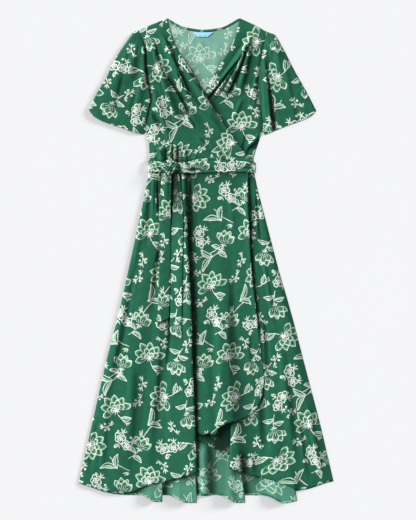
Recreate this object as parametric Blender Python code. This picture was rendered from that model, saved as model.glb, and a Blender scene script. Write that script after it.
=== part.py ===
"""A wrap dress laid flat on its back, front up.

Units: the tables are in millimetres and the meshes in metres. +X is the wearer's left, +Y runs to the neck
and +Z up. The surface that the dress lies on is Z = 0. Every piece of cloth is one closed wall of its own,
0.3 mm clear of the pieces it is sewn to. Heights are those of the middle of the wall above the surface.
"""

import math
from typing import NamedTuple

import bmesh
import bpy
import numpy as np
from mathutils import Vector
from mathutils.bvhtree import BVHTree

MM = 0.001

# Driving sizes.
WALL = 1.2  # the thickness of the cloth
SEAM = 0.3  # the gap where two pieces meet
HALF_WALL = WALL / 2
WAIST_Y = 255.0  # the seam between bodice and skirt, under the sash
RIGHT_WAIST_X, LEFT_WAIST_X = -152.0, 127.5  # the ends of that seam
SASH_LOW_Y, SASH_HIGH_Y = 236.0, 270.5
SASH_RAMP = 15.0  # how far above and below the sash the cloth comes back down
SASH_LIFT = WALL + SEAM  # the sash behind the back lifts the dress this much

FLOOR_LEVEL = HALF_WALL  # a wall that rests on the surface
SEAM_LEVEL = FLOOR_LEVEL + WALL + SEAM  # a wall sewn on top of it
MAX_MITRE = 1.35
ABOVE_ALL = 200.0  # a height above every piece

GREEN = (0.026, 0.145, 0.078, 1.0)
PALE_GREEN = (0.21, 0.45, 0.31, 1.0)
SKY_BLUE = (0.19, 0.60, 0.91, 1.0)


class Station(NamedTuple):
    """A point of an edge: how far along it, from 0 to 1, and its place from above."""

    along: float
    x: float
    y: float


class Column(NamedTuple):
    """A line of cloth that runs down a skirt panel from the waist to the hem.

    bow moves its middle sideways. waist, hip, knee and hem are its heights at the four levels of LEVELS. tuck
    is how far a fold moves it sideways at the hem.
    """

    waist_x: float
    hem_x: float
    hem_y: float
    bow: float
    waist: float
    hip: float
    knee: float
    hem: float
    tuck: float = 0.0


class Crease(NamedTuple):
    """A fold from a start to an end: half its width at each, its height, and its crest's lean to its left."""

    x0: float
    y0: float
    x1: float
    y1: float
    width0: float
    width1: float
    height: float
    lean: float


LEVELS = (0.0, 0.2, 0.55, 1.0)

# The edges of the bodice, from the shoulder to the waist. Both edges of a panel have the same stations.
RIGHT_SIDE = (
    Station(0.00, -181, 620), Station(0.14, -163, 567), Station(0.28, -163, 518), Station(0.48, -149, 440),
    Station(0.64, -160, 383), Station(0.69, -161.5, 365), Station(0.74, -161, 347),
    Station(0.79, -157.6, 330), Station(0.84, -154.2, 311), Station(0.90, -153, 289),
    Station(0.945, -152.3, 273.5), Station(1.0, RIGHT_WAIST_X, 255.2),
)
LEFT_SIDE = (
    Station(0.00, 164, 615.5), Station(0.14, 153, 567), Station(0.28, 144, 518), Station(0.48, 140, 460),
    Station(0.64, 151, 388), Station(0.69, 153.3, 367), Station(0.74, 151.6, 347),
    Station(0.79, 146.5, 332), Station(0.84, 139.5, 311), Station(0.90, 132, 289),
    Station(0.945, 128.5, 273.5), Station(1.0, LEFT_WAIST_X, 255.2),
)
OVER_EDGE = (
    Station(0.00, -106, 652.6), Station(0.14, -86, 583), Station(0.30, -44, 518), Station(0.46, -11, 460),
    Station(0.56, 13, 421), Station(0.76, 69, 339), Station(0.90, 104, 289), Station(0.945, 111, 273.5),
    Station(1.0, 117, 255.2),
)
UNDER_EDGE = (
    Station(0.00, 91, 652.6), Station(0.14, 76, 594), Station(0.30, 40, 530), Station(0.46, 2, 466),
    Station(0.60, -34, 405), Station(0.76, -72, 339), Station(0.90, -98, 289), Station(0.945, -104, 273.5),
    Station(1.0, -110, 255.2),
)
BACK_TOP = (  # shoulder, neck curve, shoulder
    Station(0.000, -181, 620), Station(0.10, -147, 636.5), Station(0.219, -106, 652.6),
    Station(0.35, -61, 629), Station(0.507, -7, 621), Station(0.64, 37, 626), Station(0.793, 91, 652.6),
    Station(0.90, 130, 635.5), Station(1.000, 164, 615.5),
)
BACK_BODICE_COLUMNS = (
    0, 0.055, 0.11, 0.165, 0.219, 0.28, 0.35, 0.43, 0.507, 0.58, 0.64, 0.715, 0.793, 0.845, 0.90, 0.95, 1.0,
)
BODICE_ROWS = (
    0, 0.045, 0.09, 0.14, 0.20, 0.27, 0.34, 0.41, 0.48, 0.55, 0.62, 0.68, 0.74, 0.79, 0.84, 0.90, 0.945, 1.0,
)

# Heights of the bodice fronts: the seams are low, the wrapped edges stand up and the overlap clears what it
# covers.
OVER_LEVEL, UNDER_LEVEL = 4.6, 2.7
OVER_LIP = (Station(0.0, SEAM_LEVEL, 0), Station(0.14, 6.0, 0), Station(0.35, 9.5, 0), Station(0.56, 8.5, 0),
            Station(0.80, 6.5, 0), Station(0.945, 5.0, 0), Station(1.0, 4.6, 0))
UNDER_LIP = (Station(0.0, SEAM_LEVEL, 0), Station(0.14, 6.5, 0), Station(0.32, 8.0, 0), Station(0.46, 4.5, 0),
             Station(0.60, 2.7, 0), Station(1.0, 2.7, 0))
OVER_CREASES = (
    Crease(-128, 618, -36, 392, 9, 17, 6.5, 5), Crease(-150, 590, -62, 330, 8, 15, 4.5, -3),
    Crease(-88, 560, 34, 362, 10, 15, 5.0, 5), Crease(-60, 452, 60, 318, 14, 14, 3.5, 2),
    Crease(-148, 470, -92, 300, 12, 12, 3.0, 0), Crease(-124, 306, -112, 262, 10, 9, 3.2, 0),
    Crease(-98, 330, -88, 262, 8, 9, 3.6, 2),
)
UNDER_CREASES = (
    Crease(118, 622, 18, 428, 10, 13, 8.5, -8), Crease(134, 596, 58, 420, 9, 14, 6.0, -4),
    Crease(146, 520, 118, 400, 10, 14, 4.0, -2), Crease(152, 345, 104, 300, 9, 8, 5.0, 3),
    Crease(146, 318, 118, 272, 7, 7, 4.0, 3),
)

# The skirt, from the waist to the hem. The last columns of the outer front come round its curved corner.
OUTER_FRONT = (
    Column(RIGHT_WAIST_X, -343.4, -601.5, 0, 2.1, 2.1, 2.1, 2.1),
    Column(-149.5, -331.0, -606.0, 0, 3.6, 5.4, 6.0, 4.4),
    Column(-146.0, -317.0, -611.0, 0, 4.4, 7.0, 8.2, 6.0),
    Column(-141.0, -301.0, -615.2, 0, 4.4, 4.4, 4.8, 4.4),
    Column(-135.0, -284.0, -620.5, 0, 4.4, 4.8, 5.6, 5.0),
    Column(-129.0, -266.0, -625.0, 0, 4.4, 6.0, 8.4, 7.0),
    Column(-123.5, -247.0, -628.0, 0, 4.4, 6.4, 9.6, 8.0),
    Column(-119.0, -229.0, -629.5, 0, 4.4, 6.0, 8.6, 7.0),
    Column(-114.0, -210.0, -629.0, 0, 4.4, 5.4, 6.2, 5.0),
    Column(-109.0, -194.0, -625.0, 0, 4.4, 5.2, 5.8, 5.2),
    Column(-104.0, -178.0, -615.0, 0, 4.4, 6.0, 8.0, 8.0),
    Column(-99.0, -160.0, -608.5, 0, 4.4, 6.4, 9.4, 10.0),
    Column(-94.0, -141.5, -604.5, 0, 4.4, 5.6, 7.0, 7.0),
    Column(-88.0, -122.0, -600.5, 0, 4.4, 5.4, 6.4, 6.8),
    Column(-82.5, -103.0, -596.0, 4, 4.4, 6.4, 9.6, 10.0),
    Column(-77.5, -84.0, -590.5, 6, 4.5, 7.6, 11.0, 11.2),
    Column(-73.0, -66.0, -584.0, 8, 4.7, 9.0, 12.6, 13.0, 3.4),
    Column(-69.0, -58.0, -578.0, 8, 4.9, 10.2, 14.0, 14.4, 15),
    Column(-65.5, -53.0, -574.5, 8, 4.9, 10.6, 14.2, 14.8, 21),
    Column(-62.5, -49.5, -572.0, 8, 4.8, 9.4, 12.8, 13.2, 23.6),
    Column(-59.7, -47.0, -568.5, 8, 4.7, 8.0, 10.8, 11.0, 18),
    Column(-57.0, -44.5, -553.0, 8, 4.6, 7.4, 9.0, 9.2, 4.5),
    Column(-54.3, -42.0, -538.0, 8, 4.5, 6.8, 8.2, 8.2, -20),
    Column(-51.7, -39.5, -522.0, 8, 4.4, 6.2, 7.4, 7.4, -38),
    Column(-49.0, -37.5, -516.0, 8, 4.4, 5.4, 6.2, 6.2, -44),
    Column(-46.5, -35.5, -511.0, 8, 4.4, 4.8, 4.9, 4.9, -42.5),
    Column(-43.5, -33.0, -500.0, 8, 4.4, 4.5, 4.6, 4.6, -33),
    Column(-39.5, -30.0, -482.0, 6, 4.4, 4.5, 4.7, 4.7, -16),
    Column(-34.0, -25.0, -463.5, 2, 4.4, 4.6, 5.2, 5.6, -2),
    Column(-26.0, -11.9, -470.5, 0, 4.4, 5.2, 6.4, 7.0), Column(-16.5, 5.0, -466.5, 0, 4.4, 5.4, 6.2, 7.4),
    Column(-6.0, 22.0, -471.5, -1, 4.4, 5.0, 5.4, 6.4), Column(4.0, 33.0, -452.0, -2, 4.4, 5.0, 6.0, 7.6),
    Column(17.0, 48.0, -442.0, -3, 4.4, 5.4, 8.0, 10.6),
    Column(31.0, 66.0, -437.0, -4, 4.4, 5.2, 8.8, 12.0),
    Column(45.0, 82.0, -433.5, -5, 4.4, 5.0, 7.2, 11.0), Column(59.0, 98.0, -428.5, -6, 4.4, 5.2, 5.6, 8.6),
    Column(73.0, 114.0, -419.0, -7, 4.4, 5.8, 6.6, 7.2),
    Column(87.0, 128.5, -407.5, -8, 4.4, 5.6, 8.4, 7.2),
    Column(98.0, 142.0, -384.0, -9, 4.4, 5.8, 8.4, 7.6),
    Column(107.0, 150.0, -357.0, -10, 4.4, 6.6, 7.0, 7.8),
    Column(113.0, 153.0, -334.0, -10, 4.4, 7.6, 7.6, 7.8),
    Column(116.6, 154.0, -316.0, -10, 4.4, 7.0, 7.0, 7.0),
)
INNER_FRONT = (
    Column(-95.0, -95.0, -360.0, 0, 2.7, 2.7, 2.7, 2.7),
    Column(-75.0, -84.0, -410.0, 0, 2.7, 2.7, 2.7, 2.7),
    Column(-55.0, -62.0, -455.0, 0, 2.7, 2.7, 2.7, 2.7),
    Column(-35.0, -38.0, -481.0, 0, 2.7, 2.7, 2.7, 3.4),
    Column(-15.0, -13.0, -493.0, 0, 2.7, 2.7, 2.7, 4.2), Column(2.0, 12.0, -504.5, 0, 2.7, 2.7, 2.7, 4.4),
    Column(14.0, 32.0, -513.0, 0, 2.7, 2.7, 2.7, 4.2), Column(22.0, 48.0, -521.0, 0, 2.7, 2.7, 2.7, 4.0),
    Column(25.0, 57.0, -528.0, 0, 2.7, 2.7, 2.7, 4.0, 6),
    Column(27.0, 61.5, -533.0, 0, 2.7, 2.7, 2.8, 4.2, 13),
    Column(28.8, 64.5, -536.5, 0, 2.7, 2.7, 2.9, 5.0, 14.5),
    Column(30.6, 67.5, -541.0, 0, 2.7, 2.7, 3.0, 6.6, 9.5),
    Column(32.4, 70.5, -550.0, 0, 2.7, 2.7, 3.1, 8.2, -3),
    Column(34.2, 73.5, -556.5, 0, 2.7, 2.7, 3.2, 10.0, -12),
    Column(36.0, 76.5, -559.0, 0, 2.7, 2.7, 3.3, 11.6, -15.5),
    Column(38.5, 80.0, -560.5, 0, 2.7, 2.7, 3.3, 12.6, -15),
    Column(42.0, 85.0, -562.5, 0, 2.7, 2.7, 3.2, 12.8, -10),
    Column(47.5, 92.0, -568.5, 0, 2.7, 2.7, 3.0, 11.0, -2),
    Column(54.0, 103.0, -575.0, 0, 2.7, 2.7, 2.8, 8.0), Column(62.0, 118.0, -579.5, 0, 2.7, 2.7, 2.7, 6.2),
    Column(70.0, 135.0, -583.5, 0, 2.7, 2.7, 2.7, 6.0), Column(78.5, 153.0, -587.0, 0, 2.7, 2.7, 2.7, 7.4),
    Column(87.0, 172.0, -591.5, 0, 2.7, 2.7, 3.0, 9.6), Column(95.0, 190.0, -597.0, 0, 2.7, 2.8, 4.0, 9.8),
    Column(101.0, 205.0, -603.0, 0, 2.7, 3.0, 5.0, 8.0),
    Column(106.5, 221.0, -609.5, 0, 2.7, 3.4, 5.6, 6.6),
    Column(111.5, 240.0, -617.5, 0, 2.7, 3.6, 5.6, 6.8),
    Column(115.5, 259.0, -620.0, 0, 2.7, 4.2, 5.4, 7.2),
    Column(119.0, 278.0, -616.5, 0, 2.7, 5.4, 6.6, 6.4),
    Column(122.5, 296.0, -611.0, 0, 2.7, 6.2, 8.2, 5.6),
    Column(124.8, 313.0, -605.5, 0, 2.6, 5.8, 7.6, 5.4),
    Column(126.6, 329.0, -600.0, 0, 2.4, 4.2, 4.6, 3.8),
    Column(LEFT_WAIST_X, 343.4, -596.0, 0, 2.1, 2.1, 2.1, 2.1),
)
OUTER_FOLD_START, INNER_FOLD_START = 0.0, 0.78
FOLD_GROWTH = 1.4  # a deep fold opens slowly at first
OUTER_FOLD, INNER_FOLD = (16, 28), (8, 17)  # the first and last columns that lie in layers at the deep fold
SIDE_TRIM = (  # how far inside a straight line the side seams run: right and left, by the share of the length
    Station(0.00, 0.0, 0.0), Station(0.02, 2.4, 2.8), Station(0.08, 3.5, 4.8), Station(0.20, 4.8, 4.2),
    Station(0.32, 5.2, 3.4), Station(0.42, 5.6, 0.2), Station(0.50, 4.6, -1.4), Station(0.62, 0.8, -1.8),
    Station(0.80, 0.0, -3.0), Station(1.00, 0.0, 0.0),
)
SIDE_HEM_Y = -600.0
SKIRT_ROWS = (0, 0.0215, 0.0395, 0.10, 0.19, 0.30, 0.42, 0.55, 0.67, 0.78, 0.87, 0.94, 1.0)

# The hem of the back falls in flutes. Each leans to the wearer's left, and its edge hangs lower than the hem
# between them.
BACK_HEM = (
    Station(0.00, -343.4, -602.0), Station(0.06, -306, -615.0), Station(0.13, -258, -629.5),
    Station(0.20, -210, -633.5), Station(0.50, 0, -634.0), Station(0.80, 175, -634.0),
    Station(0.885, 243, -623.0), Station(0.94, 296, -609.5), Station(1.00, 343.4, -596.5),
)


class Flute(NamedTuple):
    """A wave of the back hem: where its edge is, its width before the edge, its height, lean and drop."""

    edge_x: float
    width: float
    height: float
    lean: float
    drop: float


FLUTES = (
    Flute(-120, 44, 12.0, 17, 17), Flute(-26, 76, 13.0, 19, 19), Flute(104, 62, 14.0, 19, 19),
    Flute(244, 82, 13.0, 19, 22),
)
FLUTE_START = 0.78  # how far down the skirt the flutes start
FLUTE_FALL = 12.0  # the cloth between a flute's crest and its foot
BACK_SPACING = 19.0  # between the back's other columns at the hem

# The sleeves: each is a flattened tube between the armhole and the hem, folded at its outer edge. The armhole
# follows the side of the bodice down to the underarm.
UNDERARM = 0.74  # how far down the side of the bodice the armhole ends
ARMHOLE_GAP = 0.45
UNDERARM_GAP = 1.2
RIGHT_OUTER = (
    Station(0.08, -192, 617), Station(0.17, -205, 601), Station(0.38, -236.5, 556),
    Station(0.52, -253.5, 527), Station(0.64, -267, 496), Station(0.84, -294.5, 451),
    Station(1.0, -316, 404),
)
RIGHT_HEM = (
    Station(0.0, -316, 404), Station(0.10, -301, 386.5), Station(0.35, -262, 367.5),
    Station(0.56, -229, 357), Station(0.85, -187, 342), Station(1.0, -169, 338.5),
)
LEFT_OUTER = (
    Station(0.05, 172, 613.5), Station(0.14, 185, 607), Station(0.30, 205.5, 574), Station(0.57, 239, 509),
    Station(0.80, 272, 451), Station(1.0, 297, 402),
)
LEFT_HEM = (
    Station(0.0, 297, 402), Station(0.07, 288, 391), Station(0.32, 252, 373), Station(0.56, 218, 361.5),
    Station(0.79, 185, 348), Station(1.0, 159, 337.5),
)
RIGHT_SLEEVE_CREASES = (
    Crease(-184, 606, -214, 470, 8, 22, 5.0, 0), Crease(-172, 588, -172, 440, 8, 16, 4.5, 3),
    Crease(-200, 600, -262, 440, 8, 22, 3.6, 0), Crease(-168, 540, -196, 360, 9, 22, 4.0, 0),
)
LEFT_SLEEVE_CREASES = (
    Crease(170, 604, 196, 500, 8, 16, 5.0, 0), Crease(162, 585, 172, 352, 7, 15, 8.5, -7),
    Crease(182, 604, 232, 420, 8, 20, 3.5, 0), Crease(150, 520, 160, 380, 6, 7, 4.0, 0),
)
SLEEVE_ROWS = (0, 0.08, 0.18, 0.30, 0.43, 0.57, 0.71, 0.85, 1.0)
SLEEVE_FOLD = 1.6  # how much the folded outer edge of a sleeve stands up

# The sash: a tie belt round the waist, with its knot at the wearer's right and two hanging ends.
SASH_CENTRE = (
    Station(0.00, -153.6, 253.5), Station(0.12, -128, 251), Station(0.24, -95, 249),
    Station(0.36, -60, 248.5), Station(0.55, -12, 254), Station(0.75, 50, 257), Station(0.92, 108, 254),
    Station(1.00, 131.0, 249),
)
SASH_HALF_HEIGHT = (
    Station(0.00, 16.5, 0), Station(0.12, 14.0, 0), Station(0.24, 12.0, 0), Station(0.36, 14.5, 0),
    Station(0.55, 19, 0), Station(0.75, 21, 0), Station(0.92, 18, 0), Station(1.00, 13.5, 0),
)
SASH_WALL = 1.4
SASH_TURN_UNDER = 9.0
SASH_PLEAT = 0.9  # the height of its gathers above and below their middle
KNOT = Vector((-98.0, 250.0, 13.65))
KNOT_HALF = Vector((26.0, 19.0, 5.6))
KNOT_FLATTEN = 0.55  # how much thinner its lower half is
END_SHORT = (
    Station(0.0, -104, 231.5), Station(0.25, -108, 130), Station(0.6, -110, -10), Station(1.0, -116, -165),
)
END_LONG = (
    Station(0.0, -88, 232.6), Station(0.2, -81, 150), Station(0.6, -81.5, -20), Station(1.0, -83, -205),
)
END_HALF_WIDTH = 15.5
END_WALL = 1.6

LABEL_TOP_Y, LABEL_LOW_Y = 614.2, 602.0
LABEL_TOP = (-38.0, 19.5)
LABEL_LOW = (-23.5, 4.5)
LABEL_WALL = 1.0
BINDING_WIDTH = 6.0


def monotone(knots, values, at):
    """The values at the given places of a smooth curve through the knots that never swings past them."""
    knots = np.asarray(knots, float)
    values = np.asarray(values, float).reshape(len(knots), -1)
    at = np.clip(np.asarray(at, float), knots[0], knots[-1])
    step = np.diff(knots)
    slope = np.diff(values, axis=0) / step[:, None]
    before, after = slope[:-1], slope[1:]
    same_way = before * after > 0
    mean = 2 * before * after / np.where(same_way, before + after, 1)
    tangent = np.vstack([slope[:1], np.where(same_way, mean, 0), slope[-1:]])
    i = np.clip(np.searchsorted(knots, at, side="right") - 1, 0, len(knots) - 2)
    t = ((at - knots[i]) / step[i])[:, None]
    width = step[i][:, None]
    return (
        (1 + 2 * t) * (1 - t) ** 2 * values[i]
        + t * (1 - t) ** 2 * width * tangent[i]
        + t**2 * (3 - 2 * t) * values[i + 1]
        + t**2 * (t - 1) * width * tangent[i + 1]
    )


def edge(stations, at):
    """Places along an edge, as an array of x and y."""
    return monotone([s.along for s in stations], [(s.x, s.y) for s in stations], at)


def level(stations, at):
    """Heights along an edge, from stations whose x is the height."""
    return edge(stations, at)[:, 0]


def ease(t):
    t = np.clip(t, 0, 1)
    return t * t * (3 - 2 * t)


def waist_lift(y):
    """How much the sash behind the back lifts the cloth at a height y of the dress."""
    middle, half = (SASH_LOW_Y + SASH_HIGH_Y) / 2, (SASH_HIGH_Y - SASH_LOW_Y) / 2
    return SASH_LIFT * np.clip(1 - (np.abs(y - middle) - half - 1) / SASH_RAMP, 0, 1)


def patch(top, bottom, left, right, u, v):
    """Places inside four edges that meet at their ends. u runs across and v down."""
    low_u, low_v = u[None, :, None], v[:, None, None]
    across = (1 - low_v) * edge(top, u)[None] + low_v * edge(bottom, u)[None]
    down = (1 - low_u) * edge(left, v)[:, None] + low_u * edge(right, v)[:, None]
    corners = [np.array((s.x, s.y)) for s in (top[0], top[-1], bottom[0], bottom[-1])]
    flat = (1 - low_v) * ((1 - low_u) * corners[0] + low_u * corners[1])
    flat = flat + low_v * ((1 - low_u) * corners[2] + low_u * corners[3])
    return across + down - flat


def between(left, right, u):
    """Rows of places from the points of a left edge to those of a right edge."""
    return left[:, None] * (1 - u[None, :, None]) + right[:, None] * u[None, :, None]


def straight(a, b):
    """The straight edge between two stations."""
    return (Station(0, a.x, a.y), Station(1, b.x, b.y))


def crease_cloth(points, creases, strength=1.0):
    """Raises folds in a sheet of points and leans their crests sideways."""
    made = points.copy()
    for fold in creases:
        start, end = np.array((fold.x0, fold.y0)), np.array((fold.x1, fold.y1))
        run = end - start
        length = np.linalg.norm(run)
        run = run / length
        side = np.array((-run[1], run[0]))
        away = points[..., :2] - start
        along = away @ run / length
        off = away @ side / (fold.width0 + (fold.width1 - fold.width0) * np.clip(along, 0, 1))
        bump = np.where(np.abs(off) < 1, (1 - off**2) ** 2, 0)
        bump = bump * ease(along / 0.25) * ease((1 - along) / 0.35) * strength
        made[..., 2] += fold.height * bump
        made[..., :2] += fold.lean * bump[..., None] * side
    return made


def mitres(points, ring):
    """The way each point of the sheet moves to make the wall, long enough to keep it thick at a sharp turn.

    A ring's first row is a seam, so its wall is square to the surface there.
    """
    if ring:
        ahead = np.roll(points, -1, axis=1) - points
    else:
        ahead = np.diff(points, axis=1)
        ahead = np.concatenate([ahead, ahead[:, -1:]], axis=1)
    behind = np.roll(ahead, 1, axis=1)
    if not ring:
        behind[:, 0] = ahead[:, 0]
    down = np.gradient(points, axis=0)
    if ring:
        down[0, :, 2] = 0
    first, second = np.cross(down, behind), np.cross(down, ahead)
    first /= np.linalg.norm(first, axis=2, keepdims=True)
    second /= np.linalg.norm(second, axis=2, keepdims=True)
    way = (first + second) / np.maximum(1 + np.sum(first * second, axis=2, keepdims=True), 0.2)
    size = np.linalg.norm(way, axis=2, keepdims=True)
    return way * np.minimum(1, MAX_MITRE / size)


def material(name, colour, roughness):
    made = bpy.data.materials.new(name)
    made.use_nodes = True
    shader = made.node_tree.nodes["Principled BSDF"]
    shader.inputs["Base Color"].default_value = colour
    shader.inputs["Roughness"].default_value = roughness
    shader.inputs["Metallic"].default_value = 0.0
    return made


def add_object(name, mesh_in_mm, finish):
    """Makes the object of a bmesh that is in millimetres."""
    bmesh.ops.scale(mesh_in_mm, vec=(MM, MM, MM), verts=mesh_in_mm.verts)
    bmesh.ops.recalc_face_normals(mesh_in_mm, faces=mesh_in_mm.faces)
    mesh = bpy.data.meshes.new(name)
    mesh_in_mm.to_mesh(mesh)
    mesh_in_mm.free()
    mesh.shade_smooth()
    mesh.set_sharp_from_angle(angle=math.radians(50))
    mesh.materials.append(finish)
    made = bpy.data.objects.new(name, mesh)
    bpy.context.scene.collection.objects.link(made)
    return made


def cloth(name, points, finish, wall=WALL, ring=False, upright=()):
    """A closed wall around a sheet of points, as rows from top to bottom.

    A ring's rows close on themselves. upright names the edges, of top, bottom, left and right, whose rim
    stands straight up because a seam or another piece is next to it.
    """
    way = mitres(points, ring)
    rims = {"top": (0,), "bottom": (-1,), "left": (slice(None), 0), "right": (slice(None), -1)}
    for place in upright:
        rim = rims[place]
        way[rim] = np.where(way[rim][..., 2:] >= 0, 1, -1) * np.array((0, 0, 1.0))
    upper, lower = points + way * wall / 2, points - way * wall / 2
    lower[..., 2], upper[..., 2] = np.maximum(lower[..., 2], 0), np.maximum(upper[..., 2], 0)
    rows, columns = points.shape[:2]
    work = bmesh.new()
    top = [[work.verts.new(p) for p in row] for row in upper]
    low = [[work.verts.new(p) for p in row] for row in lower]
    spans = columns if ring else columns - 1
    for r in range(rows - 1):
        for c in range(spans):
            n = (c + 1) % columns
            work.faces.new((top[r][c], top[r + 1][c], top[r + 1][n], top[r][n]))
            work.faces.new((low[r][c], low[r][n], low[r + 1][n], low[r + 1][c]))
    for c in range(spans):
        n = (c + 1) % columns
        work.faces.new((top[0][c], top[0][n], low[0][n], low[0][c]))
        work.faces.new((top[-1][n], top[-1][c], low[-1][c], low[-1][n]))
    if not ring:
        for r in range(rows - 1):
            work.faces.new((top[r + 1][0], top[r][0], low[r][0], low[r + 1][0]))
            work.faces.new((top[r][-1], top[r + 1][-1], low[r + 1][-1], low[r][-1]))
    return add_object(name, work, finish)


def lay_over(points, below, clear, reach=7.0, wall=WALL, locked_rows=0, fold=()):
    """Raises a sheet so that its wall clears the pieces below it within reach of each point.

    fold is the first and the last of the columns that lie in layers at a deep fold. They rise together, row by
    row.
    """
    trees = []
    for piece in below:
        corners = [v.co / MM for v in piece.data.vertices]
        trees.append(BVHTree.FromPolygons(corners, [list(p.vertices) for p in piece.data.polygons]))
    made = points.copy()
    offsets = [(0, 0)] + [(reach * math.cos(a), reach * math.sin(a)) for a in np.arange(8) * math.pi / 4]
    for r in range(locked_rows, points.shape[0]):
        for c in range(points.shape[1]):
            x, y, z = points[r, c]
            for dx, dy in offsets:
                for tree in trees:
                    hit = tree.ray_cast(Vector((x + dx, y + dy, ABOVE_ALL)), Vector((0, 0, -1)))[0]
                    if hit is not None:
                        z = max(z, hit.z + clear + wall / 2)
            made[r, c, 2] = z
    if fold:
        layers = slice(fold[0], fold[1] + 1)
        rise = np.max(made[:, layers, 2] - points[:, layers, 2], axis=1, keepdims=True)
        made[:, layers, 2] = points[:, layers, 2] + rise
    return made


def trimmed(x, y, waist_x):
    """Skirt places moved sideways so that the side seams follow SIDE_TRIM and the cloth goes along."""
    share = np.clip((waist_x - RIGHT_WAIST_X) / (LEFT_WAIST_X - RIGHT_WAIST_X), 0, 1)
    depth = np.clip((WAIST_Y - y) / (WAIST_Y - SIDE_HEM_Y), 0, 1)
    trim = edge(SIDE_TRIM, depth.ravel()).reshape(depth.shape + (2,))
    return x + trim[..., 0] * (1 - share) - trim[..., 1] * share


def skirt_panel(columns, fold_start):
    """The points of a skirt front. Its deep fold grows from fold_start, a share of the skirt's length."""
    v = np.array(SKIRT_ROWS)[:, None]
    waist_x = np.array([c.waist_x for c in columns])
    hem_x = np.array([c.hem_x for c in columns])
    hem_y = np.array([c.hem_y for c in columns])
    bow = np.array([c.bow for c in columns])
    top_y = WAIST_Y - SEAM / 2
    y = top_y + (hem_y - top_y) * v
    x = waist_x + (hem_x - waist_x) * v + bow * np.sin(math.pi * v)
    tuck = np.array([c.tuck for c in columns])
    x = x + tuck * np.clip((v - fold_start) / (1 - fold_start), 0, 1) ** FOLD_GROWTH
    heights = np.array([(c.waist, c.hip, c.knee, c.hem) for c in columns]).T
    z = monotone(LEVELS, heights, SKIRT_ROWS)
    return np.stack([trimmed(x, y, waist_x), y, z + waist_lift(y)], axis=2)


def flute_columns():
    """Where the back's columns meet the hem before its flutes lean. They are closer together in a flute."""
    places = []
    for flute in FLUTES:
        crest = flute.edge_x - flute.lean
        places += [crest - flute.width * share for share in (1.0, 0.75, 0.5, 0.22, 0.06)]
        places += [crest + FLUTE_FALL * share for share in (0.2, 0.5, 0.8, 1.0)]
    low, high = BACK_HEM[0].x, BACK_HEM[-1].x
    places = sorted(places)
    filled = [low]
    for place in places + [high]:
        gap = place - filled[-1]
        count = max(1, round(gap / BACK_SPACING))
        filled += [filled[-1] + gap * (i + 1) / count for i in range(count)]
    return np.array(filled)


def make_back_skirt(finish):
    hem_x = flute_columns()
    shares = np.interp(hem_x, [s.x for s in BACK_HEM], [s.along for s in BACK_HEM])
    hem = edge(BACK_HEM, shares)
    v = np.array(SKIRT_ROWS)[:, None]
    top_y = WAIST_Y - SEAM / 2
    u = (hem_x - hem_x[0]) / (hem_x[-1] - hem_x[0])
    waist_x = RIGHT_WAIST_X + (LEFT_WAIST_X - RIGHT_WAIST_X) * u
    y = top_y + (hem[:, 1] - top_y) * v
    x = trimmed(waist_x + (hem_x - waist_x) * v, y, waist_x)
    z = np.full_like(x, FLOOR_LEVEL)
    grown = ease((v - FLUTE_START) / (1 - FLUTE_START)) ** 1.5
    for flute in FLUTES:
        crest = flute.edge_x - flute.lean
        rise = ease((hem_x - crest + flute.width) / (flute.width * 0.6))
        bump = rise * (1 - ease((hem_x - crest) / FLUTE_FALL))
        z = z + flute.height * bump * grown
        x = x + flute.lean * bump * grown
        y = y - flute.drop * bump * grown
    points = np.stack([x, y, z + waist_lift(y)], axis=2)
    return cloth("back_skirt", points, finish, upright=("top", "left", "right"))


def make_back_bodice(finish):
    u = np.array(BACK_BODICE_COLUMNS)
    v = np.array(BODICE_ROWS)
    across = between(edge(RIGHT_SIDE, v), edge(LEFT_SIDE, v), u)
    top = np.array([(s.x, s.y) for s in BACK_TOP])
    top_line = np.stack([np.interp(u, [s.along for s in BACK_TOP], top[:, i]) for i in (0, 1)], axis=1)
    neck = edge(BACK_TOP[2:7], u)
    inside = (u > BACK_TOP[2].along) & (u < BACK_TOP[6].along)
    top_line[inside] = neck[inside]
    points_xy = across + (top_line - across[0])[None] * ((1 - v) ** 2)[:, None, None]
    z = FLOOR_LEVEL + waist_lift(points_xy[..., 1])
    points = np.concatenate([points_xy, z[..., None]], axis=2)
    return cloth("back_bodice", points, finish, upright=("top", "bottom", "left", "right")), points


def front_bodice(side, free_edge, lip, middle, creases):
    """The points of a bodice front. Its columns run from the side seam to the wrapped edge."""
    u = np.linspace(0, 1, 19)
    v = np.array(BODICE_ROWS)
    xy = between(edge(side, v), edge(free_edge, v), u)
    rise = ease(u / 0.22)[None, :] * ease(v / 0.10)[:, None]
    z = SEAM_LEVEL + (middle - SEAM_LEVEL) * rise
    lip_rise = np.maximum(level(lip, v) - middle, SEAM_LEVEL - middle)
    z = z + lip_rise[:, None] * (ease((u - 0.62) / 0.38)[None, :]) * ease(v / 0.05)[:, None]
    at_waist = ease((1 - v) / 0.10)[:, None] * ease((u - 0.0) / 0.12)[None, :]
    points = np.concatenate([xy, z[..., None]], axis=2)
    folded = crease_cloth(points, creases)
    points = points + (folded - points) * at_waist[..., None] * ease(v / 0.06)[:, None, None]
    points[..., 2] += waist_lift(points[..., 1])
    return points


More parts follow.
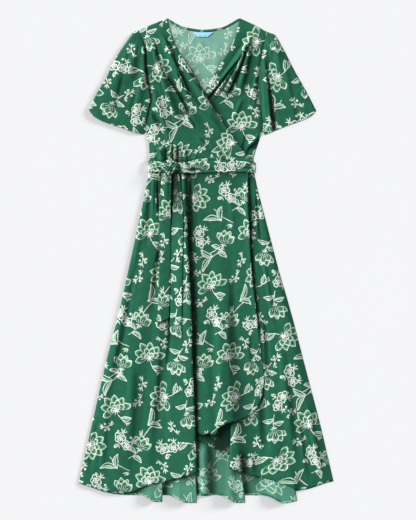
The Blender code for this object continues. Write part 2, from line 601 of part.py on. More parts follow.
def armhole_of(side, way):
    """The armhole beside a bodice's side, with a station at each of its rows and half way between them."""
    rows = [row for row in BODICE_ROWS if row <= UNDERARM]
    corners = edge(side, np.array(rows))
    fine = np.arange(0, len(rows) - 0.5, 0.5)
    places = np.stack([np.interp(fine, np.arange(len(rows)), corners[:, i]) for i in (0, 1)], axis=1)
    share = np.interp(fine, np.arange(len(rows)), rows) / UNDERARM
    gap = ARMHOLE_GAP + (UNDERARM_GAP - ARMHOLE_GAP) * ease((share - 0.85) / 0.15)
    return tuple(Station(a, x + way * g, y) for a, (x, y), g in zip(share, places, gap))


def make_sleeve(name, side, way, outer, hem, creases, finish):
    """A flattened tube: its lower layer rests on the surface under the upper one. way is its side, -1 or 1."""
    armhole = armhole_of(side, way)
    outer = (Station(0, armhole[0].x, armhole[0].y),) + outer
    underarm = straight(armhole[-1], hem[-1])
    w = np.array([station.along for station in armhole])
    v = np.array(SLEEVE_ROWS)
    upper_xy = patch(armhole, hem, outer, underarm, w, v)
    rise = ease(w / 0.12) * ease((1 - w) / 0.12)
    upper = np.concatenate([upper_xy, np.full(upper_xy.shape[:2] + (1,), SEAM_LEVEL)], axis=2)
    upper[..., 2] += SLEEVE_FOLD * (1 - ease(w / 0.35))[None, :] * ease(v / 0.15)[:, None]
    folded = crease_cloth(upper, creases)
    keep = ease(v / 0.10)[:, None] * (0.25 + 0.75 * rise)[None, :] * ease((1 - w) / 0.15)[None, :]
    upper = upper + (folded - upper) * keep[..., None]
    inner = slice(-2, 0, -1)
    lower = np.concatenate([upper_xy[:, inner], np.full((len(v), len(w) - 2, 1), FLOOR_LEVEL)], axis=2)
    middle = (FLOOR_LEVEL + SEAM_LEVEL) / 2
    upper[:, -1, 2] = middle
    upper[:, 0, 2] = middle + SLEEVE_FOLD * 0.4 * ease(v / 0.15)
    points = np.concatenate([upper, lower], axis=1)
    return cloth(name, points, finish, ring=True)


def make_sash_front(below, finish):
    """The stretch across the front. Both ends fold round the sides of the dress and a little under its back."""
    t = np.linspace(0, 1, 23)
    centre = edge(SASH_CENTRE, t)
    half = level(SASH_HALF_HEIGHT, t)
    s = np.linspace(-1, 1, 7)
    front = np.zeros((len(t), len(s), 3))
    front[..., 0] = centre[:, :1]
    front[..., 1] = centre[:, 1:] - s[None, :] * half[:, None]
    front[..., 2] = SEAM_LEVEL + SASH_LIFT
    front = lay_over(front, below, SEAM + 0.2, wall=SASH_WALL)
    gathered = (ease(t / 0.2) * ease((1 - t) / 0.1))[:, None]
    front[..., 2] += SASH_PLEAT * (1 + np.cos(s * 2.2 * math.pi)[None, :] * gathered)
    turned = []
    for end, way in ((0, -1), (-1, 1)):
        last = front[end]
        high = last[:, 2]
        lines = []
        for out, height in ((1.8, 0.82), (2.6, 0.55), (2.2, 0.25), (0.6, 0.0)):
            line = last.copy()
            line[:, 0] += way * out
            line[:, 2] = SASH_WALL / 2 + (high - SASH_WALL / 2) * height
            lines.append(line)
        under = last.copy()
        under[:, 0] -= way * SASH_TURN_UNDER
        under[:, 2] = SASH_WALL / 2
        lines.append(under)
        turned.append(np.array(lines))
    points = np.concatenate([turned[0][::-1], front, turned[1]], axis=0)
    return cloth("sash_front", points, finish, wall=SASH_WALL - 0.3)


def make_sash_back(finish):
    low_x, high_x = SASH_CENTRE[0].x + SASH_TURN_UNDER + 1.0, SASH_CENTRE[-1].x - SASH_TURN_UNDER - 1.0
    x = np.linspace(low_x, high_x, 8)
    y = np.array((SASH_HIGH_Y - 1, SASH_LOW_Y + 1))
    points = np.zeros((len(y), len(x), 3))
    points[..., 0], points[..., 1] = x[None, :], y[:, None]
    points[..., 2] = FLOOR_LEVEL
    return cloth("sash_back", points, finish, upright=("top", "bottom", "left", "right"))


def sash_end(name, route, below, finish, tip):
    """A hanging end of the sash: a folded strip with a slanting tip, laid over what it hangs on."""
    t = np.linspace(0, 1, 18)
    centre = edge(route, t)
    s = np.linspace(-1, 1, 5)
    points = np.zeros((len(t), len(s), 3))
    narrow = 0.62 + 0.38 * ease(t / 0.12)
    points[..., 0] = centre[:, :1] + s[None, :] * END_HALF_WIDTH * narrow[:, None]
    points[..., 1] = centre[:, 1:] + tip * s[None, :] * ease((t - 0.8) / 0.2)[:, None]
    points[..., 2] = FLOOR_LEVEL
    points = lay_over(points, below, SEAM + 0.15, wall=END_WALL)
    points[..., 2] += 1.1 * (1 - s**2)[None, :] * (1 - 0.6 * t)[:, None]
    return cloth(name, points, finish, wall=END_WALL)


def make_knot(finish):
    """The knot: a soft clump with the wrapped band's swellings, flatter where it lies on the sash."""
    work = bmesh.new()
    bmesh.ops.create_uvsphere(work, u_segments=20, v_segments=12, radius=1)
    for v in work.verts:
        turn = math.atan2(v.co.y, v.co.x)
        swell = 1 + 0.10 * math.cos(3 * turn + 0.6) + 0.05 * math.cos(5 * turn)
        v.co.x *= KNOT_HALF.x * swell
        v.co.y *= KNOT_HALF.y * swell
        v.co.z *= KNOT_HALF.z * (1 if v.co.z > 0 else KNOT_FLATTEN)
        v.co += KNOT
    return add_object("sash_knot", work, finish)


def make_label(finish):
    v = np.linspace(0, 1, 3)[:, None]
    s = np.linspace(0, 1, 7)[None, :]
    left = LABEL_TOP[0] + (LABEL_LOW[0] - LABEL_TOP[0]) * v
    right = LABEL_TOP[1] + (LABEL_LOW[1] - LABEL_TOP[1]) * v
    x = left + (right - left) * s
    y = LABEL_TOP_Y + (LABEL_LOW_Y - LABEL_TOP_Y) * v + 0 * s
    z = np.full_like(x, WALL + SEAM + LABEL_WALL / 2)
    return cloth("neck_label", np.stack([x, y, z], axis=2), finish, wall=LABEL_WALL)


def make_binding(back_points, finish):
    """A narrow strip turned over the back neck, made from the back's own top edge."""
    first, last = 4, 12
    top = back_points[0, first : last + 1]
    fine = monotone(np.arange(len(top)), top, np.linspace(0.10, len(top) - 1.10, 25))
    inner = fine.copy()
    inner[:, 1] -= BINDING_WIDTH
    points = np.stack([fine, (fine + inner) / 2, inner], axis=0)
    points[..., 2] = SEAM_LEVEL - 0.1 + np.array((0, 0.25, 0))[:, None]
    return cloth("back_neck_binding", points, finish, wall=WALL - 0.2)


def clear_scene():
    for old in list(bpy.data.objects):
        bpy.data.objects.remove(old, do_unlink=True)


def main():
    clear_scene()
    green = material("printed_cloth", GREEN, 0.75)
    pale = material("cloth_reverse", PALE_GREEN, 0.8)
    blue = material("label_cloth", SKY_BLUE, 0.55)

    sash_back = make_sash_back(green)
    back_bodice, back_points = make_back_bodice(pale)
    back_skirt = make_back_skirt(pale)
    make_binding(back_points, green)
    make_label(blue)

    under = front_bodice(LEFT_SIDE, UNDER_EDGE, UNDER_LIP, UNDER_LEVEL, UNDER_CREASES)
    under_bodice = cloth("front_bodice_left", under, green, upright=("top", "bottom", "left"))
    over = front_bodice(RIGHT_SIDE, OVER_EDGE, OVER_LIP, OVER_LEVEL, OVER_CREASES)
    over = lay_over(over, [under_bodice], SEAM + 0.3, locked_rows=1)
    over_bodice = cloth("front_bodice_right", over, green, upright=("top", "bottom", "left"))

    inner_points = skirt_panel(INNER_FRONT, INNER_FOLD_START)
    inner_points = lay_over(inner_points, [back_skirt], SEAM, reach=9.0, fold=INNER_FOLD)
    inner = cloth("skirt_front_inner", inner_points, green, upright=("top", "right"))
    outer_points = skirt_panel(OUTER_FRONT, OUTER_FOLD_START)
    outer_points = lay_over(outer_points, [back_skirt, inner], SEAM, reach=9.0, fold=OUTER_FOLD)
    outer = cloth("skirt_front_outer", outer_points, green, upright=("top", "left"))

    make_sleeve("sleeve_right", RIGHT_SIDE, -1, RIGHT_OUTER, RIGHT_HEM, RIGHT_SLEEVE_CREASES, green)
    make_sleeve("sleeve_left", LEFT_SIDE, 1, LEFT_OUTER, LEFT_HEM, LEFT_SLEEVE_CREASES, green)

    sash_front = make_sash_front([over_bodice, under_bodice, inner, outer], green)
    long_end = sash_end("sash_end_long", END_LONG, [outer, sash_front], green, tip=-7)
    sash_end("sash_end_short", END_SHORT, [outer, sash_front, long_end], green, tip=8)
    make_knot(green)


main()
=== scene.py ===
"""A printed crepe wrap dress, laid flat on its back with its front up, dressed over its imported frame.

The tables are in millimetres and the meshes in metres. +X is the wearer's left, +Y runs to the neck and +Z
up from the surface that the dress lies on. Heights are those of the middle of the cloth above that surface,
and "right" and "left" are the wearer's.
"""

import logging
import math
from dataclasses import dataclass, replace
from enum import Enum
from typing import NamedTuple, Optional, Sequence, Union

import bmesh
import bpy
import numpy as np
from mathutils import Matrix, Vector
from mathutils.bvhtree import BVHTree

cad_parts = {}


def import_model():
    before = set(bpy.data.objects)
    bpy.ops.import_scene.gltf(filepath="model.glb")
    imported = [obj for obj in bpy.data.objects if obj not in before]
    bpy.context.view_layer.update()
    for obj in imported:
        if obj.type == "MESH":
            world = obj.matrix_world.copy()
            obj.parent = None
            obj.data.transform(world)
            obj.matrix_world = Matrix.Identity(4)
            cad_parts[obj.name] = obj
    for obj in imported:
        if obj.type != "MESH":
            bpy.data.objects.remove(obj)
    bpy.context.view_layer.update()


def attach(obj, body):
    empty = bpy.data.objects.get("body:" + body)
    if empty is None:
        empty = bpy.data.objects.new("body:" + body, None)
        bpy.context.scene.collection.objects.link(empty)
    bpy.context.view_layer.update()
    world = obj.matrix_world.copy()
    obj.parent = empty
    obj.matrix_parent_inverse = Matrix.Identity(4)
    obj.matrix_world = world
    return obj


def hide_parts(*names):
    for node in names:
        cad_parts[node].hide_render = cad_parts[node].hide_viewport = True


log = logging.getLogger("wrap_dress")

MM = 0.001
BODY = "root"

Colour = tuple[float, float, float, float]

# Driving sizes.
WALL = 0.8  # the thickness of the shells
CLEAR = 0.35  # between two pieces that lie on each other
WAIST_Y = 255.0  # the seam between bodice and skirt, under the sash
RIGHT_WAIST_X, LEFT_WAIST_X = -152.0, 127.5
SASH_LOW_Y, SASH_HIGH_Y = 236.0, 270.5
SASH_RAMP = 15.0  # how far above and below the sash the cloth comes back down
SASH_LIFT = 1.5  # the sash behind the back lifts the dress this much
FLOOR_LEVEL = 0.6  # cloth that rests on the surface
SEAM_LEVEL = 2.1  # cloth sewn on top of it
ABOVE_ALL = 200.0  # higher than any cloth, to look straight down from
CREASE_START, CREASE_END = 0.25, 0.35  # the shares of a crease in which it comes up and dies away
SAME_POINT = 0.02  # points that are nearer to each other are one
ROOM = 1.001  # how much larger than its area a flat size is at least
EDGE_WALL = 0.5  # the thickness of the narrow edges: the neck binding and the turned hem


class Station(NamedTuple):
    """A point of an edge: how far along it, from 0 to 1, and its place from above."""

    along: float
    x: float
    y: float


class Column(NamedTuple):
    """A line of cloth down a skirt front: its ends, its sideways bow, its heights and its fold's shift."""

    waist_x: float
    hem_x: float
    hem_y: float
    bow: float
    waist: float
    hip: float
    knee: float
    hem: float
    tuck: float = 0.0


class Crease(NamedTuple):
    """A soft ridge, or a trough where its height is below 0: its ends, half widths, height, lean and bow."""

    x0: float
    y0: float
    x1: float
    y1: float
    width0: float
    width1: float
    height: float
    lean: float = 0.0
    bow: float = 0.0


class Flute(NamedTuple):
    """A wave of the back hem: where its edge is, its width before the edge, its height, lean and drop."""

    edge_x: float
    width: float
    height: float
    lean: float
    drop: float


def rows_of(kind: type, *rows: Sequence) -> tuple:
    """A table of one kind of named rows, from their plain numbers."""
    return tuple(kind(*row) for row in rows)


class Slot(Enum):
    """The record's material slots."""

    PRINTED = "printed_cloth"
    REVERSE = "cloth_reverse"
    LABEL = "label_cloth"


# ------------------------------------------------------------------------------------------------------------
# Curves and surfaces


def monotone(knots: Sequence[float], values: Sequence, at: np.ndarray) -> np.ndarray:
    """Samples a smooth curve through knots that never swings past them.

    Args:
        knots: where the values are, in rising order.
        values: a number or a row of numbers for each knot.
        at: where to sample it.

    Returns:
        One row for each place in at.
    """
    knots = np.asarray(knots, float)
    values = np.asarray(values, float).reshape(len(knots), -1)
    at = np.clip(np.asarray(at, float), knots[0], knots[-1])
    step = np.diff(knots)
    slope = np.diff(values, axis=0) / step[:, None]
    before, after = slope[:-1], slope[1:]
    same_way = before * after > 0
    mean = 2 * before * after / np.where(same_way, before + after, 1)
    tangent = np.vstack([slope[:1], np.where(same_way, mean, 0), slope[-1:]])
    i = np.clip(np.searchsorted(knots, at, side="right") - 1, 0, len(knots) - 2)
    t = ((at - knots[i]) / step[i])[:, None]
    width = step[i][:, None]
    return (
        (1 + 2 * t) * (1 - t) ** 2 * values[i]
        + t * (1 - t) ** 2 * width * tangent[i]
        + t**2 * (3 - 2 * t) * values[i + 1]
        + t**2 * (t - 1) * width * tangent[i + 1]
    )


def edge(stations: Sequence[Station], at: np.ndarray) -> np.ndarray:
    """The x and y of places along an edge."""
    return monotone([s.along for s in stations], [(s.x, s.y) for s in stations], at)


def level(stations: Sequence[Station], at: np.ndarray) -> np.ndarray:
    """Heights along an edge, from stations whose x is the height."""
    return edge(stations, at)[:, 0]


def ease(t: np.ndarray) -> np.ndarray:
    """A smooth step from 0 to 1."""
    t = np.clip(t, 0, 1)
    return t * t * (3 - 2 * t)


def waist_lift(y: np.ndarray) -> np.ndarray:
    """How much the sash behind the back lifts the cloth at a height y of the dress."""
    middle, half = (SASH_LOW_Y + SASH_HIGH_Y) / 2, (SASH_HIGH_Y - SASH_LOW_Y) / 2
    return SASH_LIFT * ease(1 - (np.abs(y - middle) - half) / SASH_RAMP)


def between(left: np.ndarray, right: np.ndarray, u: np.ndarray) -> np.ndarray:
    """Rows of places from the points of a left edge to those of a right edge."""
    return left[:, None] * (1 - u[None, :, None]) + right[:, None] * u[None, :, None]


def patch(
    top: Sequence[Station],
    bottom: Sequence[Station],
    left: Sequence[Station],
    right: Sequence[Station],
    u: np.ndarray,
    v: np.ndarray,
) -> np.ndarray:
    """Fills four edges that meet at their ends.

    Args:
        top: the edge at v = 0, and bottom the one at v = 1.
        bottom: see top.
        left: the edge at u = 0, and right the one at u = 1.
        right: see left.
        u: places across.
        v: places down.

    Returns:
        The x and y of each row and column.
    """
    low_u, low_v = u[None, :, None], v[:, None, None]
    across = (1 - low_v) * edge(top, u)[None] + low_v * edge(bottom, u)[None]
    down = (1 - low_u) * edge(left, v)[:, None] + low_u * edge(right, v)[:, None]
    corners = [np.array((s.x, s.y)) for s in (top[0], top[-1], bottom[0], bottom[-1])]
    flat = (1 - low_v) * ((1 - low_u) * corners[0] + low_u * corners[1])
    flat = flat + low_v * ((1 - low_u) * corners[2] + low_u * corners[3])
    return across + down - flat


def crease_cloth(points: np.ndarray, creases: Sequence[Crease]) -> np.ndarray:
    """Presses soft ridges and troughs into a sheet and leans their crests sideways.

    Args:
        points: the sheet's rows of points.
        creases: the ridges and troughs.

    Returns:
        The creased points.
    """
    made = points.copy()
    for fold in creases:
        start, end = np.array((fold.x0, fold.y0)), np.array((fold.x1, fold.y1))
        run = end - start
        length = np.linalg.norm(run)
        run = run / length
        side = np.array((-run[1], run[0]))
        away = points[..., :2] - start
        along = away @ run / length
        share = np.clip(along, 0, 1)
        middle = fold.bow * 4 * share * (1 - share)
        off = (away @ side - middle) / (fold.width0 + (fold.width1 - fold.width0) * share)
        bump = np.where(np.abs(off) < 1, (1 - off**2) ** 2, 0)
        bump = bump * ease(along / CREASE_START) * ease((1 - along) / CREASE_END)
        made[..., 2] += fold.height * bump
        made[..., :2] += fold.lean * bump[..., None] * side
    return made


def widened(field: np.ndarray, cells: int) -> np.ndarray:
    """Spreads the high values of a field to the cells beside them, smoothly and never under the field.

    Args:
        field: a value for each cell.
        cells: how far a value spreads.

    Returns:
        The spread field.
    """
    made = field
    for gather in (np.max, np.mean):
        for axis in (0, 1):
            pad = [(cells, cells) if a == axis else (0, 0) for a in (0, 1)]
            padded = np.pad(made, pad, mode="edge")
            count = made.shape[axis]
            shifts = [np.take(padded, range(i, i + count), axis=axis) for i in range(2 * cells + 1)]
            made = gather(shifts, axis=0)
    return made


def distances(line: np.ndarray) -> np.ndarray:
    """How far along a line each of its points is."""
    return np.concatenate([[0], np.cumsum(np.linalg.norm(np.diff(line, axis=0), axis=1))])


def places(x: np.ndarray, y: np.ndarray) -> np.ndarray:
    """The x and y of a grid, from a row, a column or a whole grid of each."""
    return np.stack(np.broadcast_arrays(x, y), axis=-1)


def sheet_points(xy: np.ndarray, z: Union[np.ndarray, float]) -> np.ndarray:
    """The points of a sheet, from their places and their heights."""
    return np.concatenate([xy, np.broadcast_to(z, xy.shape[:2])[..., None]], axis=2)


# ------------------------------------------------------------------------------------------------------------
# Cloth


@dataclass
class Cloth:
    """A sheet of cloth as rows of points from top to bottom, with each point's place in the flat cut.

    A ring's last column lies on its first one, and its cut is the half that lies flat, folded at the first
    column.
    """

    name: str
    points: np.ndarray
    cut: np.ndarray
    ring: bool = False
    wall: float = WALL
    # painted shade for each point, from 0 to 1, which darkens its colour
    painted_shade: Optional[np.ndarray] = None
    turn: float = 0.0  # how far the cut is turned under the print, in degrees

    def tree(self) -> BVHTree:
        """A search tree of the sheet, for laying other cloth on it.

        Returns:
            The tree of its faces.
        """
        rows, columns = self.points.shape[:2]
        first = (np.arange(rows - 1)[:, None] * columns + np.arange(columns - 1)[None, :]).ravel()
        faces = np.stack([first, first + columns, first + columns + 1, first + 1], axis=1)
        return BVHTree.FromPolygons(self.points.reshape(-1, 3).tolist(), faces.tolist())

    def area(self) -> float:
        """The area of one side of the sheet.

        Returns:
            The area, in square millimetres.
        """
        p = self.points
        first = np.cross(p[1:, :-1] - p[:-1, :-1], p[1:, 1:] - p[:-1, :-1])
        second = np.cross(p[1:, 1:] - p[:-1, :-1], p[:-1, 1:] - p[:-1, :-1])
        return float((np.linalg.norm(first, axis=2) + np.linalg.norm(second, axis=2)).sum() / 2)

    def make(self, face: bpy.types.Material, under: Optional[bpy.types.Material] = None) -> bpy.types.Object:
        """Makes the piece: a grid moved to the sheet's points, with a wall.

        Args:
            face: the finish of the side that looks up, and of the edges.
            under: the finish of the other side, the same one if it is left out.

        Returns:
            The object, at the origin.
        """
        rows, columns = self.points.shape[:2]
        work = bmesh.new()
        bmesh.ops.create_grid(work, x_segments=columns - 1, y_segments=rows - 1, size=1)
        mesh = bpy.data.meshes.new(self.name)
        work.to_mesh(mesh)
        mesh.vertices.foreach_set("co", (self.points[::-1] * MM).reshape(-1))
        corners = np.zeros(len(mesh.loops), np.int32)
        mesh.loops.foreach_get("vertex_index", corners)
        cut = mesh.uv_layers.new(name="cut")
        cut.data.foreach_set("uv", (self.cut[::-1].reshape(-1, 2)[corners] * MM).reshape(-1))
        # The painted shade goes to the mesh as a point attribute.
        if self.painted_shade is not None:
            depth = mesh.attributes.new("painted_shade", "FLOAT", "POINT")
            depth.data.foreach_set("value", self.painted_shade[::-1].reshape(-1))
        if self.ring:
            work.clear()
            work.from_mesh(mesh)
            bmesh.ops.remove_doubles(work, verts=work.verts, dist=SAME_POINT * MM)
            bmesh.ops.recalc_face_normals(work, faces=work.faces)
            work.to_mesh(mesh)
        work.free()
        mesh.shade_smooth()
        mesh.materials.append(face)
        mesh.materials.append(under or face)
        piece = link(bpy.data.objects.new(self.name, mesh))
        solid = piece.modifiers.new("wall", "SOLIDIFY")
        solid.thickness = self.wall * MM
        solid.offset = 0
        solid.material_offset = 1
        solid.material_offset_rim = 0
        log.info("%s: %d x %d points, %.3f m2", self.name, rows, columns, self.area() * MM * MM)
        return piece

    def declare(self, piece: bpy.types.Object, rests_on: Sequence[str], with_pieces: Sequence = ()) -> None:
        """Works out the flat size of what shows, which for a tube goes all round, to both sides of its fold,
        but passes nothing on.

        Args:
            piece: the made object; not used.
            rests_on: the names of what it lies on; not used.
            with_pieces: small pieces that go with it; not used.
        """
        size = turned(self.cut, (0.0, 0.0), -self.turn).reshape(-1, 2)
        width, length = np.ptp(size, axis=0) * MM
        if self.ring:
            fold = self.cut[-1, 0] - self.cut[0, 0]
            fold = fold / np.linalg.norm(fold)
            away = (self.cut - self.cut[0, 0]).reshape(-1, 2)
            width, length = 2 * np.abs(away @ (-fold[1], fold[0])).max() * MM, np.ptp(away @ fold) * MM
        area = self.area() * MM * MM
        grown = max(1.0, area / (width * length) * ROOM)
        float(width * grown)


class HollowShade(NamedTuple):
    """A scale of the painted shade in hollows: its reach, the depth at which the shade is full, a shift towards
    the light so that the painted shade falls on the side away from it, and its share.
    """

    reach: float
    depth: float
    shift_x: float
    shift_y: float
    share: float


class Relief:
    """The dress seen as heights from above, to find the hollows between its folds and beside its edges, where
    shade is painted into its colour.
    """

    CELL = 2.5
    HALF_X, HALF_Y = 372.0, 690.0
    CONTRAST = 1.3  # how much more the painted shade counts in deep hollows than in soft ones
    HOLLOW_SHADES = (
        HollowShade(5.0, 2.6, -2.5, 1.5, 0.5),
        HollowShade(14.0, 6.0, -9.0, 7.0, 0.5),
        HollowShade(28.0, 8.0, -16.0, 18.0, 0.6),
    )

    def __init__(self, sheets: Sequence[Cloth]) -> None:
        """Draws the highest cloth in each cell and smooths it at each scale.

        Args:
            sheets: all the cloth.
        """
        shape = (int(2 * self.HALF_Y / self.CELL), int(2 * self.HALF_X / self.CELL))
        self.heights = np.zeros(shape)
        for sheet in sheets:
            fine = self.finer(self.finer(sheet.points, 0), 1)
            rows, columns = self.cells(fine)
            np.maximum.at(self.heights, (rows.ravel(), columns.ravel()), fine[..., 2].ravel())
        self.blurred = [self.smoothed(scale.reach) for scale in self.HOLLOW_SHADES]

    @staticmethod
    def finer(points: np.ndarray, axis: int) -> np.ndarray:
        """The points with two more between each pair.

        Args:
            points: the rows of points.
            axis: the way along which more are put in.

        Returns:
            The finer points, not in their order.
        """
        count = points.shape[axis]
        first, second = (np.take(points, range(i, i + count - 1), axis=axis) for i in (0, 1))
        return np.concatenate(
            [first, first * 2 / 3 + second / 3, first / 3 + second * 2 / 3, second], axis=axis
        )

    def cells(self, points: np.ndarray) -> tuple[np.ndarray, np.ndarray]:
        """The cell that each point is in.

        Args:
            points: the points, whose x and y count.

        Returns:
            The row and the column of each one's cell.
        """
        rows = ((points[..., 1] + self.HALF_Y) / self.CELL).astype(int)
        columns = ((points[..., 0] + self.HALF_X) / self.CELL).astype(int)
        return rows.clip(0, self.heights.shape[0] - 1), columns.clip(0, self.heights.shape[1] - 1)

    def smoothed(self, spread: float) -> np.ndarray:
        """The heights blurred by a bell curve.

        Args:
            spread: how wide the curve is, in millimetres.

        Returns:
            A height for each cell.
        """
        reach = int(3 * spread / self.CELL)
        bell = np.exp(-0.5 * (np.arange(-reach, reach + 1) * self.CELL / spread) ** 2)
        bell /= bell.sum()
        made = np.apply_along_axis(np.convolve, 0, self.heights, bell, mode="same")
        return np.apply_along_axis(np.convolve, 1, made, bell, mode="same")

    def mark(self, sheet: Cloth) -> None:
        """Keeps in a sheet its painted shade: how deep each of its points lies, from 0 to 1, with the shade
        shifted away from the light.

        Args:
            sheet: the cloth.
        """
        z = sheet.points[..., 2]
        sheet.painted_shade = np.zeros_like(z)
        for scale, blurred in zip(self.HOLLOW_SHADES, self.blurred):
            at = self.cells(sheet.points[..., :2] + np.array((scale.shift_x, scale.shift_y)))
            sheet.painted_shade += scale.share * np.clip((blurred[at] - z) / scale.depth, 0, 1)
        sheet.painted_shade = widened(np.minimum(sheet.painted_shade, 1), 1) ** self.CONTRAST


def link(piece: bpy.types.Object) -> bpy.types.Object:
    """Puts an object in the scene and returns it."""
    bpy.context.scene.collection.objects.link(piece)
    return piece


def seat(piece: bpy.types.Object, slot: Slot, *nodes: str) -> bpy.types.Object:
    """Makes a piece ride on the part and hides the CAD nodes whose place it takes.

    Args:
        piece: the object.
        slot: its material slot; not used.
        nodes: the CAD nodes that it stands for, if any.

    Returns:
        The object.
    """
    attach(piece, BODY)
    if nodes:
        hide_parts(*nodes)
    return piece


def flat_cut(points: np.ndarray, slide: tuple[float, float]) -> np.ndarray:
    """Unrolls a sheet whose rows run across: x follows the cloth over its folds and y runs down the dress.

    Args:
        points: the rows of points.
        slide: how far the cut is moved under the print.

    Returns:
        The x and y of each point in the cut.
    """
    steps = np.diff(points, axis=1)
    across = np.hypot(steps[..., 0], steps[..., 2])
    start = points[:, :1, 0] - points[:1, :1, 0]
    x = np.concatenate([start, start + np.cumsum(across, axis=1)], axis=1)
    return np.stack([x, points[..., 1]], axis=2) + np.array(slide)


def turned(cut: np.ndarray, slide: tuple[float, float], turn: float) -> np.ndarray:
    """Turns a flat cut under the print and then moves it.

    Args:
        cut: the x and y of each point in the cut.
        slide: how far the cut is moved.
        turn: how far it is turned, in degrees.

    Returns:
        The new x and y of each point.
    """
    angle = math.radians(turn)
    x, y = cut[..., 0], cut[..., 1]
    made = (x * math.cos(angle) - y * math.sin(angle), x * math.sin(angle) + y * math.cos(angle))
    return np.stack(made, axis=-1) + np.array(slide)


def settle(
    points: np.ndarray,
    below: Sequence[Cloth],
    spread: int = 2,
    fold: Optional[tuple[int, int]] = None,
    wall: float = WALL,
) -> np.ndarray:
    """Raises a sheet where the cloth below it would come through.

    Args:
        points: the sheet's rows of points.
        below: what it lies on.
        spread: over how many points the cloth comes up beside such a place.
        fold: the first and last columns of a deep fold, whose layers rise together.
        wall: the thickness of the sheet.

    Returns:
        The raised points.
    """
    trees = [(piece.tree(), (piece.wall + wall) / 2 + CLEAR) for piece in below]
    down = Vector((0, 0, -1))
    lift = np.zeros(points.shape[:2])
    for row, column in np.ndindex(lift.shape):
        x, y, z = points[row, column]
        for tree, clear in trees:
            hit = tree.ray_cast(Vector((x, y, ABOVE_ALL)), down)[0]
            if hit is not None:
                lift[row, column] = max(lift[row, column], hit.z + clear - z)
    if fold:
        layers = slice(fold[0], fold[1] + 1)
        lift[:, layers] = lift[:, layers].max(axis=1, keepdims=True)
    made = points.copy()
    made[..., 2] += widened(lift, spread)
    return made


# ------------------------------------------------------------------------------------------------------------
# Shader nodes


def vector_math(
    tree: bpy.types.NodeTree, operation: str, *values: Union[bpy.types.NodeSocket, tuple]
) -> bpy.types.Node:
    """Adds a Vector Math node.

    Args:
        tree: the node tree.
        operation: what the node does.
        values: what goes in, each a socket or the numbers themselves.

    Returns:
        The node.
    """
    node = tree.nodes.new("ShaderNodeVectorMath")
    node.operation = operation
    for place, value in zip(node.inputs, values):
        if isinstance(value, tuple):
            place.default_value = value
        else:
            tree.links.new(value, place)
    return node


def noise(
    tree: bpy.types.NodeTree, place: bpy.types.NodeSocket, scale: float, detail: float = 2.0
) -> bpy.types.Node:
    """Adds a Noise Texture node.

    Args:
        tree: the node tree.
        place: where the noise is read.
        scale: how fine it is.
        detail: how many finer layers it has.

    Returns:
        The node.
    """
    node = tree.nodes.new("ShaderNodeTexNoise")
    node.inputs["Scale"].default_value = scale
    node.inputs["Detail"].default_value = detail
    tree.links.new(place, node.inputs["Vector"])
    return node


def group_node(
    tree: bpy.types.NodeTree, group: bpy.types.NodeTree, place: bpy.types.NodeSocket
) -> bpy.types.Node:
    """Adds a node that uses a group.

    Args:
        tree: the node tree.
        group: the group.
        place: what goes into its Vector.

    Returns:
        The node.
    """
    node = tree.nodes.new("ShaderNodeGroup")
    node.node_tree = group
    tree.links.new(place, node.inputs["Vector"])
    return node


class Term:
    """A number that changes over the cloth: the output of a node."""

    def __init__(self, tree: bpy.types.NodeTree, socket: bpy.types.NodeSocket) -> None:
        """Keeps the node tree and the socket."""
        self.tree = tree
        self.socket = socket

    def math(self, operation: str, *others: "Number", clamp: bool = False) -> "Term":
        """A Math node of this number and others.

        Args:
            operation: what the node does.
            others: what goes in after this number.
            clamp: whether the result is kept from 0 to 1.

        Returns:
            The result.
        """
        node = self.tree.nodes.new("ShaderNodeMath")
        node.operation = operation
        node.use_clamp = clamp
        for place, value in zip(node.inputs, (self, *others)):
            if isinstance(value, Term):
                self.tree.links.new(value.socket, place)
            else:
                place.default_value = value
        return Term(self.tree, node.outputs[0])

    def __add__(self, other: "Number") -> "Term":
        """This plus another."""
        return self.math("ADD", other)

    def __sub__(self, other: "Number") -> "Term":
        """This less another."""
        return self.math("SUBTRACT", other)

    def __mul__(self, other: "Number") -> "Term":
        """This times another."""
        return self.math("MULTIPLY", other)

    def __truediv__(self, other: "Number") -> "Term":
        """This divided by another."""
        return self.math("DIVIDE", other)

    def scaled(self, factor: float, offset: float, clamp: bool = False) -> "Term":
        """This times a factor plus an offset."""
        return self.math("MULTIPLY_ADD", factor, offset, clamp=clamp)

    def size(self) -> "Term":
        """This without its sign."""
        return self.math("ABSOLUTE")

    def either(self, other: "Number") -> "Term":
        """The larger of the two."""
        return self.math("MAXIMUM", other)

    def rest(self) -> "Term":
        """What this leaves of 1."""
        return self.scaled(-1, 1)


Number = Union[Term, float]


